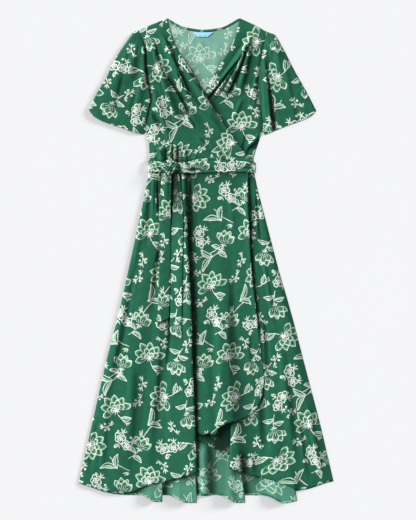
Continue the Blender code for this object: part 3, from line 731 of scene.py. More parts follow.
class Spot:
    """The place that is being coloured, in a motif's own measure: x to its right and y up."""

    def __init__(self, tree: bpy.types.NodeTree, socket: bpy.types.NodeSocket) -> None:
        """Keeps the node tree and the socket, and takes x and y from it.

        Args:
            tree: the node tree.
            socket: the place.
        """
        self.tree = tree
        self.socket = socket
        parts = tree.nodes.new("ShaderNodeSeparateXYZ")
        tree.links.new(socket, parts.inputs[0])
        self.x = Term(tree, parts.outputs[0])
        self.y = Term(tree, parts.outputs[1])

    def moved(self, x: float, y: float, turn: float = 0.0, size: float = 1.0) -> "Spot":
        """The same place as seen from a motif at x and y, turned by some degrees and drawn at a size.

        Args:
            x: where the motif is, across.
            y: and up.
            turn: how far it is turned, in degrees.
            size: how large it is drawn.

        Returns:
            The place in the motif's own measure.
        """
        node = self.tree.nodes.new("ShaderNodeMapping")
        node.vector_type = "TEXTURE"
        self.tree.links.new(self.socket, node.inputs["Vector"])
        node.inputs["Location"].default_value = (x, y, 0)
        node.inputs["Rotation"].default_value = (0, 0, math.radians(turn))
        node.inputs["Scale"].default_value = (size, size, size)
        return Spot(self.tree, node.outputs[0])

    def radius(self) -> Term:
        """How far the place is from the motif's middle."""
        return Term(self.tree, vector_math(self.tree, "LENGTH", self.socket).outputs["Value"])

    def angle(self) -> Term:
        """The way to the place: 0 is up and it grows to the right."""
        return self.x.math("ARCTAN2", self.y)


# ------------------------------------------------------------------------------------------------------------
# The print: line-drawn flowers and leaves, worked out by shader nodes from the place in the flat cut


class Ink(NamedTuple):
    """What a motif leaves on the cloth: its lines, the tint in it, and where it covers what is behind."""

    line: Term
    tint: Term
    cover: Term

    def over(self, other: "Ink") -> "Ink":
        """Both, this one in front.

        Args:
            other: the ink behind.

        Returns:
            The ink of both.
        """
        bare = self.cover.rest()
        line, tint = other.line * bare, other.tint * bare
        return Ink(self.line.either(line), self.tint.either(tint), self.cover.either(other.cover))


class Fan(NamedTuple):
    """Petals that spread from one point: their length, half width, step, number, tint and sway."""

    length: float
    half: float
    step: float
    count: int
    rim: float = 0.2
    sway: float = 0.0


LINE = 1.22  # half the width of a drawn line, in millimetres
SOFT = 0.5  # how much of it is soft
TUFT_LEAF = 1.5  # half the width of a tuft's leaflet
FINE_LINE = 0.62  # veins and seams, against other lines
PETAL_POINT = 0.42  # how pointed a petal's tip is


def within(distance: Term, soft: float) -> Term:
    """1 where a distance is under 0, with a soft edge."""
    return distance.scaled(-1 / soft, 0.5, clamp=True)


@dataclass(frozen=True)
class Brush:
    """A brush over a motif: the place in the motif's own measure, and how hard the brush presses."""

    spot: Spot
    pressure: Term

    def moved(self, x: float, y: float, turn: float = 0.0) -> "Brush":
        """The brush as seen from a place at x and y, turned by some degrees."""
        return Brush(self.spot.moved(x, y, turn), self.pressure)

    def stroke(self, distance: Term, width: float) -> Term:
        """A drawn line where a distance is near 0, as wide as the brush presses."""
        return (distance.size() / self.pressure).scaled(-1 / (width * SOFT), 1 / SOFT, clamp=True)

    def petal(self, x: Term, y: Term, half: float, width: float, rim: float) -> Ink:
        """Draws a petal with a pointed tip from 0 to 1 up y, with a vein, its tint strongest at the edge.

        Args:
            x: across the petal.
            y: along it.
            half: about half its width.
            width: half the width of the line.
            rim: how far in the tint reaches.

        Returns:
            The ink.
        """
        wide = x / y.scaled(0.9 * half, 0.5 * half)
        tall = wide.size() * PETAL_POINT + y.scaled(2, -1)
        gap = (wide * wide + tall * tall).math("SQRT").scaled(0.42, -0.42)
        inside = within(gap, width)
        vein = self.stroke(x, width * FINE_LINE) * within((y - 0.42).size() - 0.2, 0.1)
        tint = gap.scaled(1 / rim, 1.15, clamp=True) * inside
        return Ink(self.stroke(gap, width).either(vein), tint, inside)

    def fan(self, fan: Fan, turn: float = 0.0) -> Ink:
        """Draws petals that spread from one point to both sides of a way given in degrees.

        Args:
            fan: the petals.
            turn: the way, in degrees.

        Returns:
            The ink.
        """
        seen = self.spot.moved(0, 0, turn)
        width, half_step = LINE / fan.length, math.radians(fan.step) / 2
        way = seen.angle()
        reach = way.scaled(2.6, fan.sway).math("SINE").scaled(0.08 * fan.length, fan.length)
        out = seen.radius() / reach
        shift = 0.0 if fan.count % 2 else half_step
        folded = (way + shift).math("WRAP", half_step, -half_step)
        x, y = folded.math("SINE") * out, folded.math("COSINE") * out
        petal = self.petal(x, y, fan.half, width, fan.rim)
        beside = folded.size().scaled(-1, half_step) * out
        seam = self.stroke(beside, width * FINE_LINE) * petal.cover * within(out.scaled(-1, 0.3), width)
        line = petal.line.either(seam)
        if fan.count * fan.step >= 360:
            return Ink(line, petal.tint, petal.cover)
        shown = within(way.size() - fan.count * half_step, width)
        return Ink(line * shown, petal.tint * shown, petal.cover * shown)

    def star(self, count: float, reach: float) -> Ink:
        """Draws narrow strokes that spread from a base all round.

        Args:
            count: how many there are.
            reach: how long they are.

        Returns:
            The ink.
        """
        out = self.spot.radius()
        lobe = self.spot.angle().scaled(count / 2, 0.4).math("COSINE").size()
        line = self.stroke(lobe * out * (2 / count), LINE) * within(out - reach, reach * 0.5)
        return Ink(line, line * 0.0, line)

    def tuft(self, length: float, step: float, count: int) -> Ink:
        """Draws slim leaflets, each one stroke, that spread from one point.

        Args:
            length: how long they are.
            step: the angle between two, in degrees.
            count: how many there are.

        Returns:
            The ink.
        """
        out, way, half_step = self.spot.radius(), self.spot.angle(), math.radians(step) / 2
        shift = 0.0 if count % 2 else half_step
        across = ((way + shift).math("WRAP", half_step, -half_step) * out).size()
        swell = (out * out.scaled(-1, length)) * (4 * TUFT_LEAF / length**2)
        line = within(across / self.pressure - swell, LINE) * within(way.size() - count * half_step, 0.1)
        return Ink(line * 0.72, line, line)

    def leaf(self, length: float, half: float, bend: float) -> Ink:
        """Draws a pointed leaf up its own y, with its rib and one tinted half.

        Args:
            length: how long it is.
            half: half its width, as a share of that.
            bend: how far it bends to the right.

        Returns:
            The ink.
        """
        seen = self.spot.moved(0, 0, 0, length)
        width = LINE / length
        swell = seen.y * seen.y.rest()
        aside = seen.x - swell * bend
        gap = aside.size() - swell * (4 * half)
        inside = within(gap, width) * within((seen.y - 0.5).size() - 0.5, width)
        rib = self.stroke(aside, width * FINE_LINE) * inside
        outline = self.stroke(gap, width) * within((seen.y - 0.5).size() - 0.52, width)
        return Ink(outline.either(rib), inside * within(aside, half * 0.4), inside)

    def stem(self, length: float, bend: float) -> Ink:
        """Draws a curved stem down from 0.

        Args:
            length: how long it is.
            bend: how far it bends to the right.

        Returns:
            The ink.
        """
        aside = self.spot.x - (self.spot.y * self.spot.y) * (bend / length**2)
        span = within((self.spot.y + length / 2).size() - length / 2, LINE)
        line = self.stroke(aside, LINE) * span
        return Ink(line, line * 0.0, line)

    def berry(self, radius: float) -> Ink:
        """Draws a small round berry.

        Args:
            radius: its radius.

        Returns:
            The ink.
        """
        gap = self.spot.radius() - radius
        inside = within(gap, LINE)
        return Ink(self.stroke(gap, LINE), inside * 0.8, inside)


def draw_bloom(brush: Brush) -> Ink:
    """A large open blossom seen from the side, with its stem, a leaf and a tuft.

    Args:
        brush: the brush over the motif.

    Returns:
        The ink.
    """
    base = brush.moved(0, -6)
    ink = base.star(9, 11)
    ink = ink.over(base.fan(Fan(15, 0.42, 54, 3, 0.3), 6))
    ink = ink.over(base.fan(Fan(27, 0.34, 46, 4, 0.2, 1.0), -8))
    ink = ink.over(base.fan(Fan(42, 0.27, 36, 6, 0.16, 2.4), 5))
    ink = ink.over(base.stem(44, 16))
    ink = ink.over(brush.moved(5, -29, -112).leaf(30, 0.2, 0.3))
    return ink.over(brush.moved(16, -47, -150).tuft(13, 40, 3))


def draw_tulip(brush: Brush) -> Ink:
    """A half open flower on a stem with two long leaves.

    Args:
        brush: the brush over the motif.

    Returns:
        The ink.
    """
    base = brush.moved(0, -4)
    ink = base.fan(Fan(31, 0.33, 40, 3, 0.2, 0.6), -3)
    ink = ink.over(base.fan(Fan(37, 0.25, 28, 4, 0.16, 2.0), 4))
    ink = ink.over(brush.moved(0, -2, 180).tuft(10, 44, 4))
    ink = ink.over(brush.stem(40, -14))
    ink = ink.over(brush.moved(-4, -18, 84).leaf(27, 0.19, 0.5))
    return ink.over(brush.moved(-8, -29, -98).leaf(31, 0.17, -0.55))


def draw_roses(brush: Brush) -> Ink:
    """Two small round roses with tufts of leaflets.

    Args:
        brush: the brush over the motif.

    Returns:
        The ink.
    """
    ink: Optional[Ink] = None
    for x, y, turn, size in ((-8, 11, 10, 1.0), (9, -12, 45, 0.9)):
        rose = brush.moved(x, y, turn)
        head = rose.berry(2.4).over(rose.fan(Fan(8 * size, 0.46, 90, 4, 0.3)))
        head = head.over(rose.fan(Fan(15.5 * size, 0.46, 72, 5, 0.16, 1.3), 30))
        ink = head if ink is None else ink.over(head)
    for x, y, turn, length in ((1, 22, -30, 14), (-15, -5, 150, 13), (22, -4, -70, 13)):
        ink = ink.over(brush.moved(x, y, turn).tuft(length, 44, 3))
    for x, y in ((-12, 28), (-24, -12), (21, 8)):
        ink = ink.over(brush.moved(x, y).berry(2.2))
    return ink


def draw_leaves(brush: Brush) -> Ink:
    """A curved stem with two long leaves that part like wings, and a tuft at its end.

    Args:
        brush: the brush over the motif.

    Returns:
        The ink.
    """
    ink = brush.moved(2, -8, 60).leaf(46, 0.15, 0.6)
    ink = ink.over(brush.moved(2, -10, -32).leaf(40, 0.17, -0.55))
    ink = ink.over(brush.moved(2, 28, 8).stem(62, 18))
    return ink.over(brush.moved(22, -32, 130).tuft(14, 38, 4))


def draw_sprig(brush: Brush) -> Ink:
    """A small curved twig with a tuft at its tip, a leaflet or two and buds to both sides.

    Args:
        brush: the brush over the motif.

    Returns:
        The ink.
    """
    ink = brush.moved(1, 8, -8).tuft(12, 40, 3)
    ink = ink.over(brush.moved(1, 10).stem(32, 11))
    for x, y, turn, length in ((2, -5, 64, 11), (6, -15, -52, 10)):
        ink = ink.over(brush.moved(x, y, turn).tuft(length, 46, 2))
    for x, y, radius in ((-7, 3, 2.3), (9, 4, 2.0), (-6, -6, 1.9), (16, -16, 2.2)):
        ink = ink.over(brush.moved(x, y).berry(radius))
    return ink


class Motif(Enum):
    """The motifs of the print, each with how far it reaches from its middle."""

    BLOOM = ("bloom", draw_bloom, 56.0)
    TULIP = ("tulip", draw_tulip, 47.0)
    ROSES = ("roses", draw_roses, 36.0)
    LEAVES = ("leaves", draw_leaves, 44.0)
    SPRIG = ("sprig", draw_sprig, 23.0)


class Place(NamedTuple):
    """Where a motif is in the repeat, how far it is turned, in degrees, and its size."""

    x: float
    y: float
    turn: float
    size: float = 1.0


REPEAT = (288.0, 334.0)
LAYOUT = {
    Motif.BLOOM: rows_of(Place, (42, 53, 8), (174, 143, -118), (80, 276, 96), (238, 245, 20)),
    Motif.TULIP: rows_of(Place, (117, 36, 172), (17, 138, -30), (256, 22, -15), (146, 226, 200)),
    Motif.ROSES: rows_of(Place, (188, 38, -20), (92, 138, 60), (260, 156, 5), (160, 305, -65)),
    Motif.LEAVES: rows_of(Place, (236, 90, 30), (46, 206, -70), (221, 318, 95)),
    Motif.SPRIG: rows_of(
        Place,
        (82, 90, 200), (146, 84, -40), (214, 194, 90), (104, 192, 20), (14, 262, 130), (26, 310, 160),
        (190, 276, -70, 0.85),
    ),
}
FAR_AWAY = (500.0, 500.0, 0.0)
MIX_VECTORS, MIX_COLOURS = (4, 5), (6, 7)  # the inputs of a Mix node
HAND_SCALE, HAND_SHAKE = 0.07, 4.2  # how fine the shake of the drawing hand is, and how far it goes
BRUSH_SCALE, BRUSH_RANGE, BRUSH_LEAST = 0.23, 2.6, 0.35  # how fine the brush's pressure changes, and how much


def new_group(name: str, inputs: Sequence[tuple[str, str]], outputs: Sequence[tuple[str, str]]) -> tuple:
    """Starts a node group.

    Args:
        name: its name.
        inputs: the name and the socket type of each input.
        outputs: the same for each output.

    Returns:
        The group, its input node and its output node.
    """
    group = bpy.data.node_groups.new(name, "ShaderNodeTree")
    for word, sockets in (("INPUT", inputs), ("OUTPUT", outputs)):
        for label, kind in sockets:
            group.interface.new_socket(label, in_out=word, socket_type=kind)
    return group, group.nodes.new("NodeGroupInput"), group.nodes.new("NodeGroupOutput")


def motif_group(motif: Motif) -> bpy.types.NodeTree:
    """The node group that draws one motif round its own middle, in millimetres.

    Args:
        motif: the motif.

    Returns:
        The node group.
    """
    name, draw, _ = motif.value
    group, given, made = new_group(
        f"print_{name}",
        (("Vector", "NodeSocketVector"), ("Pressure", "NodeSocketFloat")),
        (("Line", "NodeSocketFloat"), ("Tint", "NodeSocketFloat")),
    )
    brush = Brush(Spot(group, given.outputs["Vector"]), Term(group, given.outputs["Pressure"]))
    ink = draw(brush)
    group.links.new(ink.line.socket, made.inputs["Line"])
    group.links.new(ink.tint.socket, made.inputs["Tint"])
    return group


def place_group() -> bpy.types.NodeTree:
    """Makes the group that takes a place in the repeat to a motif's own measure, where that motif is near.

    Returns:
        The node group.
    """
    group, given, made = new_group(
        "print_place",
        (
            ("Vector", "NodeSocketVector"),
            ("At", "NodeSocketVector"),
            ("Turn", "NodeSocketFloat"),
            ("Size", "NodeSocketFloat"),
            ("Reach", "NodeSocketFloat"),
            ("Others", "NodeSocketVector"),
        ),
        (("Vector", "NodeSocketVector"),),
    )
    half = (REPEAT[0] / 2, REPEAT[1] / 2, 1.0)
    away = vector_math(group, "SUBTRACT", given.outputs["Vector"], given.outputs["At"])
    near = vector_math(group, "WRAP", away.outputs[0], half, tuple(-h for h in half))
    spin = group.nodes.new("ShaderNodeVectorRotate")
    spin.rotation_type = "Z_AXIS"
    group.links.new(near.outputs[0], spin.inputs["Vector"])
    group.links.new(given.outputs["Turn"], spin.inputs["Angle"])
    sized = vector_math(group, "SCALE", spin.outputs[0])
    group.links.new(given.outputs["Size"], sized.inputs["Scale"])
    far = Term(group, vector_math(group, "LENGTH", sized.outputs[0]).outputs["Value"])
    close = far.math("LESS_THAN", Term(group, given.outputs["Reach"]))
    mix = group.nodes.new("ShaderNodeMix")
    mix.data_type = "VECTOR"
    group.links.new(close.socket, mix.inputs["Factor"])
    group.links.new(given.outputs["Others"], mix.inputs[MIX_VECTORS[0]])
    group.links.new(sized.outputs[0], mix.inputs[MIX_VECTORS[1]])
    group.links.new(mix.outputs[1], made.inputs["Vector"])
    return group


def print_group() -> bpy.types.NodeTree:
    """Makes the group of the whole repeat: from a place in the cut, in metres, to the print there.

    Returns:
        The node group.
    """
    group, given, made = new_group(
        "floral_print",
        (("Vector", "NodeSocketVector"),),
        (("Line", "NodeSocketFloat"), ("Tint", "NodeSocketFloat")),
    )
    in_mm = vector_math(group, "SCALE", given.outputs["Vector"])
    in_mm.inputs["Scale"].default_value = 1 / MM
    at = in_mm.outputs[0]
    shake = noise(group, at, HAND_SCALE, 1.0)
    hand = vector_math(group, "MULTIPLY_ADD", shake.outputs["Color"], (HAND_SHAKE, HAND_SHAKE, 0), at)
    brush = Term(group, noise(group, at, BRUSH_SCALE).outputs["Fac"])
    pressure = brush.scaled(BRUSH_RANGE, -BRUSH_LEAST).either(BRUSH_LEAST)
    place = place_group()
    line: Optional[Term] = None
    tint: Optional[Term] = None
    for motif, spots in LAYOUT.items():
        others: Optional[bpy.types.NodeSocket] = None
        for spot in spots:
            node = group_node(group, place, hand.outputs[0])
            node.inputs["At"].default_value = (spot.x, spot.y, 0)
            node.inputs["Turn"].default_value = -math.radians(spot.turn)
            node.inputs["Size"].default_value = 1 / spot.size
            node.inputs["Reach"].default_value = motif.value[2]
            node.inputs["Others"].default_value = FAR_AWAY
            if others is not None:
                group.links.new(others, node.inputs["Others"])
            others = node.outputs[0]
        drawn = group_node(group, motif_group(motif), others)
        group.links.new(pressure.socket, drawn.inputs["Pressure"])
        lines, tints = Term(group, drawn.outputs["Line"]), Term(group, drawn.outputs["Tint"])
        line = lines if line is None else line.either(lines)
        tint = tints if tint is None else tint.either(tints)
    group.links.new(line.socket, made.inputs["Line"])
    group.links.new(tint.socket, made.inputs["Tint"])
    return group


def crepe_group() -> bpy.types.NodeTree:
    """Makes the group of the cloth's surface: the grain of crepe, a slow unevenness and soft wrinkles.

    Returns:
        The node group.
    """
    group, given, made = new_group(
        "crepe",
        (("Vector", "NodeSocketVector"),),
        (("Grain", "NodeSocketFloat"), ("Cloud", "NodeSocketFloat"), ("Wrinkle", "NodeSocketFloat")),
    )
    for label, scale, detail, stretch in (
        ("Grain", 1500.0, 2.0, (1.0, 0.55, 1.0)),
        ("Cloud", 60.0, 3.0, (1, 1, 1)),
        ("Wrinkle", 17.0, 2.5, (1.0, 0.42, 1.0)),
    ):
        mapping = group.nodes.new("ShaderNodeMapping")
        mapping.inputs["Scale"].default_value = stretch
        group.links.new(given.outputs["Vector"], mapping.inputs["Vector"])
        group.links.new(noise(group, mapping.outputs[0], scale, detail).outputs["Fac"], made.inputs[label])
    return group


# ------------------------------------------------------------------------------------------------------------
# Finishes


# The dark colour that painted shade mixes into the cloth's colour.
IN_SHADE: Colour = (0.002, 0.017, 0.010, 1)


def new_finish(name: str) -> tuple[bpy.types.Material, bpy.types.NodeTree, bpy.types.Node]:
    """Starts a material.

    Args:
        name: its name.

    Returns:
        The material, its node tree and its shader.
    """
    made = bpy.data.materials.new(name)
    made.use_nodes = True
    return made, made.node_tree, made.node_tree.nodes["Principled BSDF"]


def cut_place(tree: bpy.types.NodeTree) -> bpy.types.NodeSocket:
    """Adds a UV Map node that gives the place in the piece's own flat cut.

    Args:
        tree: the node tree.

    Returns:
        The place.
    """
    node = tree.nodes.new("ShaderNodeUVMap")
    node.uv_map = "cut"
    return node.outputs[0]


@dataclass(frozen=True)
class PrintedCrepe:
    """A side of the printed crepe: its ground, the print's colours and how strongly the print shows."""

    name: str
    ground: Colour
    deep: Colour
    line: Colour
    tint: Colour
    line_strength: float
    tint_strength: float
    roughness: float = 0.78
    sheen: float = 0.03
    shade: float = 0.95  # how much painted shade darkens the cloth where it is full
    grain_gloss: float = 0.22  # how much the grain changes the roughness
    grain_height: float = 0.00006
    wrinkle_height: float = 0.0018

    def make(self, floral: bpy.types.NodeTree, crepe: bpy.types.NodeTree) -> bpy.types.Material:
        """Makes the material.

        Args:
            floral: the print's node group.
            crepe: the surface's node group.

        Returns:
            The material, which reads the piece's own flat cut.
        """
        made, tree, shader = new_finish(self.name)
        cut = cut_place(tree)
        drawn, surface = group_node(tree, floral, cut), group_node(tree, crepe, cut)
        cloud = Term(tree, surface.outputs["Cloud"])
        ground = mixed(tree, cloud.scaled(1.6, -0.3, clamp=True), self.deep, self.ground)
        tint = Term(tree, drawn.outputs["Tint"]) * self.tint_strength
        tinted = mixed(tree, tint, ground, self.tint)
        worn = cloud.scaled(0.5, 0.68, clamp=True)
        line = Term(tree, drawn.outputs["Line"]) * worn * self.line_strength
        printed = mixed(tree, line, tinted, self.line)
        # Painted shade: the point attribute worked out from the folds darkens the printed colour towards
        # IN_SHADE.
        painted_shade = tree.nodes.new("ShaderNodeAttribute")
        painted_shade.attribute_name = "painted_shade"
        deep = Term(tree, painted_shade.outputs["Fac"]) * self.shade
        tree.links.new(mixed(tree, deep, printed, IN_SHADE), shader.inputs["Base Color"])
        grain = Term(tree, surface.outputs["Grain"])
        gloss = grain.scaled(self.grain_gloss, self.roughness - self.grain_gloss / 2)
        tree.links.new(gloss.socket, shader.inputs["Roughness"])
        shader.inputs["Sheen Weight"].default_value = self.sheen
        shader.inputs["Sheen Roughness"].default_value = 0.5
        shader.inputs["Specular IOR Level"].default_value = 0.15
        fine = bump(tree, grain, self.grain_height)
        soft = bump(tree, Term(tree, surface.outputs["Wrinkle"]), self.wrinkle_height, fine)
        tree.links.new(soft, shader.inputs["Normal"])
        return made


@dataclass(frozen=True)
class LabelSatin:
    """Bare woven satin ribbon."""

    name: str
    colour: Colour
    shade: Colour
    thread: float = 0.00035

    def make(self) -> bpy.types.Material:
        """Makes the material, whose threads run along the ribbon.

        Returns:
            The material.
        """
        made, tree, shader = new_finish(self.name)
        spot = Spot(tree, cut_place(tree))
        threads = (spot.y * (2 * math.pi / self.thread)).math("SINE").scaled(0.5, 0.5)
        floats = (spot.x * (2 * math.pi / (self.thread * 6)) + spot.y * 9000.0).math("SINE").scaled(0.5, 0.5)
        weave = threads * 0.7 + floats * 0.3
        colour = mixed(tree, weave.scaled(0.5, 0.4), self.shade, self.colour)
        tree.links.new(colour, shader.inputs["Base Color"])
        tree.links.new(weave.scaled(-0.15, 0.5).socket, shader.inputs["Roughness"])
        shader.inputs["Sheen Weight"].default_value = 0.1
        tree.links.new(bump(tree, weave, 0.00005), shader.inputs["Normal"])
        return made


@dataclass(frozen=True)
class Paper:
    """The plain pale surface that the dress lies on."""

    name: str
    colour: Colour
    cloud_scale: float = 3.0
    dimmest: float = 0.985

    def make(self) -> bpy.types.Material:
        """Makes the material, a little uneven in colour and gloss.

        Returns:
            The material.
        """
        made, tree, shader = new_finish(self.name)
        where = tree.nodes.new("ShaderNodeTexCoord")
        cloud = Term(tree, noise(tree, where.outputs["Object"], self.cloud_scale).outputs["Fac"])
        dim = tuple(c * self.dimmest for c in self.colour[:3]) + (1.0,)
        tree.links.new(mixed(tree, cloud, dim, self.colour), shader.inputs["Base Color"])
        tree.links.new(cloud.scaled(0.1, 0.85).socket, shader.inputs["Roughness"])
        shader.inputs["Specular IOR Level"].default_value = 0.1
        return made


def mixed(
    tree: bpy.types.NodeTree, share: Term, first: Union[Colour, bpy.types.NodeSocket], second: Colour
) -> bpy.types.NodeSocket:
    """Mixes two colours.

    Args:
        tree: the node tree.
        share: how much of the second.
        first: the first colour.
        second: the second one.

    Returns:
        The colour.
    """
    node = tree.nodes.new("ShaderNodeMix")
    node.data_type = "RGBA"
    tree.links.new(share.socket, node.inputs["Factor"])
    for place, value in zip(MIX_COLOURS, (first, second)):
        if isinstance(value, tuple):
            node.inputs[place].default_value = value
        else:
            tree.links.new(value, node.inputs[place])
    return node.outputs[2]


def bump(
    tree: bpy.types.NodeTree, height: Term, distance: float, under: Optional[bpy.types.NodeSocket] = None
) -> bpy.types.NodeSocket:
    """Raises a surface, on top of another that may be raised too.

    Args:
        tree: the node tree.
        height: how high it is raised, as a share.
        distance: the full height, in metres.
        under: the normal of the surface below, if it is raised too.

    Returns:
        The normal.
    """
    node = tree.nodes.new("ShaderNodeBump")
    node.inputs["Distance"].default_value = distance
    tree.links.new(height.socket, node.inputs["Height"])
    if under is not None:
        tree.links.new(under, node.inputs["Normal"])
    return node.outputs[0]


@dataclass
class Wardrobe:
    """The finished materials."""

    face: bpy.types.Material
    reverse: bpy.types.Material
    skirt_reverse_painted_shade: bpy.types.Material
    trim: bpy.types.Material
    label: bpy.types.Material
    paper: bpy.types.Material

    @classmethod
    def make(cls) -> "Wardrobe":
        """Builds the shared node groups once and every material from them.

        Returns:
            The materials.
        """
        floral, crepe = print_group(), crepe_group()
        face = PrintedCrepe(
            name="printed_crepe_face",
            ground=(0.0175, 0.150, 0.083, 1),
            deep=(0.0115, 0.107, 0.058, 1),
            line=(0.98, 0.99, 0.93, 1),
            tint=(0.34, 0.76, 0.40, 1),
            line_strength=1.0,
            tint_strength=0.6,
        )
        reverse = PrintedCrepe(
            name="printed_crepe_reverse",
            ground=(0.215, 0.455, 0.350, 1),
            deep=(0.174, 0.393, 0.297, 1),
            line=(0.79, 0.90, 0.83, 1),
            tint=(0.37, 0.64, 0.47, 1),
            line_strength=0.9,
            tint_strength=0.4,
            roughness=0.84,
            shade=0.35,
        )
        # The back skirt's reverse is a darker copy of the reverse: painted shade, for where it lies in the
        # shade of the fronts.
        skirt_reverse_painted_shade = PrintedCrepe(
            name="printed_crepe_skirt_reverse_painted_shade",
            ground=(0.092, 0.298, 0.208, 1),
            deep=(0.062, 0.235, 0.160, 1),
            line=(0.66, 0.86, 0.75, 1),
            tint=(0.30, 0.55, 0.37, 1),
            line_strength=0.95,
            tint_strength=0.45,
            roughness=0.84,
            shade=0.6,
        )
        trim = replace(
            face, name="printed_crepe_trim", line=(0.70, 0.78, 0.66, 1), line_strength=0.5, tint_strength=0.3
        )
        label = LabelSatin("label_satin", (0.41, 0.79, 1.0, 1), (0.30, 0.69, 1.0, 1))
        paper = Paper("pale_paper", (0.90, 0.90, 0.915, 1))
        printed = [side.make(floral, crepe) for side in (face, reverse, skirt_reverse_painted_shade, trim)]
        return cls(*printed, label.make(), paper.make())


# ------------------------------------------------------------------------------------------------------------
# The bodice


@dataclass
class Bodice:
    """The back bodice and the two wrapped fronts, from the shoulders to the waist."""

    over_level: float = 4.8
    under_level: float = 3.3
    fine: int = 130  # rows
    across: int = 112  # columns

    RIGHT_SIDE = rows_of(
        Station,
        (0, -181, 620), (0.14, -163, 567), (0.28, -163, 518), (0.48, -149, 440), (0.64, -160, 383),
        (0.69, -161.5, 365), (0.74, -161, 347), (0.79, -157.6, 330), (0.84, -154.2, 311), (0.90, -153, 289),
        (0.945, -152.3, 273.5), (1, RIGHT_WAIST_X, 255.2),
    )
    LEFT_SIDE = rows_of(
        Station,
        (0, 164, 615.5), (0.14, 153, 567), (0.28, 144, 518), (0.48, 140, 460), (0.64, 151, 388),
        (0.69, 153.3, 367), (0.74, 151.6, 347), (0.79, 146.5, 332), (0.84, 139.5, 311), (0.90, 132, 289),
        (0.945, 128.5, 273.5), (1, LEFT_WAIST_X, 255.2),
    )
    OVER_EDGE = rows_of(
        Station,
        (0, -106, 652.6), (0.14, -86, 583), (0.30, -44, 518), (0.46, -11, 460), (0.56, 13, 421),
        (0.76, 69, 339), (0.90, 104, 289), (0.945, 111, 273.5), (1, 117, 255.2),
    )
    UNDER_EDGE = rows_of(
        Station,
        (0, 91, 652.6), (0.14, 76, 594), (0.30, 40, 530), (0.46, 2, 466), (0.60, -34, 405),
        (0.76, -72, 339), (0.90, -98, 289), (0.945, -104, 273.5), (1, -110, 255.2),
    )
    BACK_TOP = rows_of(
        Station,
        (0, -181, 620), (0.10, -147, 636.5), (0.219, -106, 652.6), (0.35, -61, 629), (0.507, -7, 621),
        (0.64, 37, 626), (0.793, 91, 652.6), (0.90, 130, 635.5), (1, 164, 615.5),
    )
    OVER_LIP = rows_of(
        Station,
        (0, SEAM_LEVEL, 0), (0.14, 4.2, 0), (0.35, 5.8, 0), (0.56, 5.6, 0), (0.80, 4.8, 0), (0.945, 4.8, 0),
        (1, 4.8, 0),
    )
    UNDER_LIP = rows_of(
        Station,
        (0, SEAM_LEVEL, 0), (0.14, 6.2, 0), (0.32, 8.2, 0), (0.46, 6.4, 0), (0.60, 3.3, 0), (1, 3.3, 0),
    )
    # The draped folds from the shoulders, then the small ones at the sides and above the sash.
    OVER_CREASES = rows_of(
        Crease,
        (-128, 618, -36, 392, 9, 17, 7.5, 5), (-150, 590, -62, 330, 8, 15, 5.5, -3),
        (-88, 560, 34, 362, 10, 15, 6, 5), (-60, 452, 60, 318, 14, 14, 4.2, 2),
        (-148, 470, -92, 300, 12, 12, 3.6), (-128, 312, -116, 250, 9, 8, 4.6),
        (-109, 500, -34, 366, 3.4, 6, -7.5, 0, 6), (-84, 506, -60, 452, 2.6, 5, -5, 0, 2),
        (-60, 404, -22, 350, 4, 6, -4, 0, 3), (-150, 398, -120, 348, 6, 9, -3, 0, 3),
        (-20, 328, 15, 298, 5, 8, -2.6, 0, 3), (-90, 322, -91, 243, 4, 6, -4.5),
        (-136, 300, -132, 240, 5, 6, -2.6), (-108, 305, -106, 240, 4, 6, -4),
        (-82, 318, -84, 243, 3, 4, 4), (-76, 316, -77, 243, 4, 5, -4.5), (-98, 300, -97, 240, 4, 5, 3),
        (-58, 306, -54, 240, 6, 7, 2.8), (-34, 290, -22, 240, 8, 8, 1.8), (30, 300, 40, 245, 9, 9, 1.6),
        (-118, 606, -96, 560, 4, 7, 2.2), (-140, 596, -128, 520, 4, 7, -3, 0, 3),
    )
    UNDER_CREASES = rows_of(
        Crease,
        (130, 618, 6, 424, 8, 14, 8.5, 4), (106, 572, 38, 428, 5, 12, 6, 3),
        (122, 590, 84, 436, 6, 14, 5), (146, 520, 118, 400, 10, 14, 4, -2),
        (152, 345, 104, 300, 9, 8, 6, 3), (146, 318, 118, 262, 7, 7, 5, 3),
        (108, 568, -50, 328, 3.2, 8, -9, 0, -10), (110, 566, 58, 442, 3, 5, -4.5, 0, 2),
        (136, 470, 120, 410, 6, 8, -2.4), (108, 340, 97, 292, 3, 5, -5), (128, 322, 108, 280, 4, 5, -3.6),
        (98, 440, 70, 372, 8, 9, 2.4),
    )
    BACK_CREASES = rows_of(
        Crease,
        (-60, 600, -70, 470, 16, 22, 1.4), (30, 590, 26, 480, 14, 20, 1.2), (-12, 600, -20, 520, 10, 14, 0.9),
    )
    NECK = slice(2, 7)  # the stations of BACK_TOP that are the back neck
    SEAM_EASE = 0.07  # the share of a front in which it rises from its seams
    LIP_START, LIP_EASE = 0.62, 0.05  # where across a front its lip comes in, and over how much of its length
    ROLL, ROLL_DROP, ROLL_EASE = 0.028, 1.6, 0.08  # the rolled edge: its share, its drop and its start
    FOLDS_AT_WAIST, FOLDS_AT_SIDE, FOLDS_AT_TOP = 0.05, 0.08, 0.04  # how soon the folds are full from there
    FOLD_DEPTH = 0.3  # how far a fold goes under the level of the seams

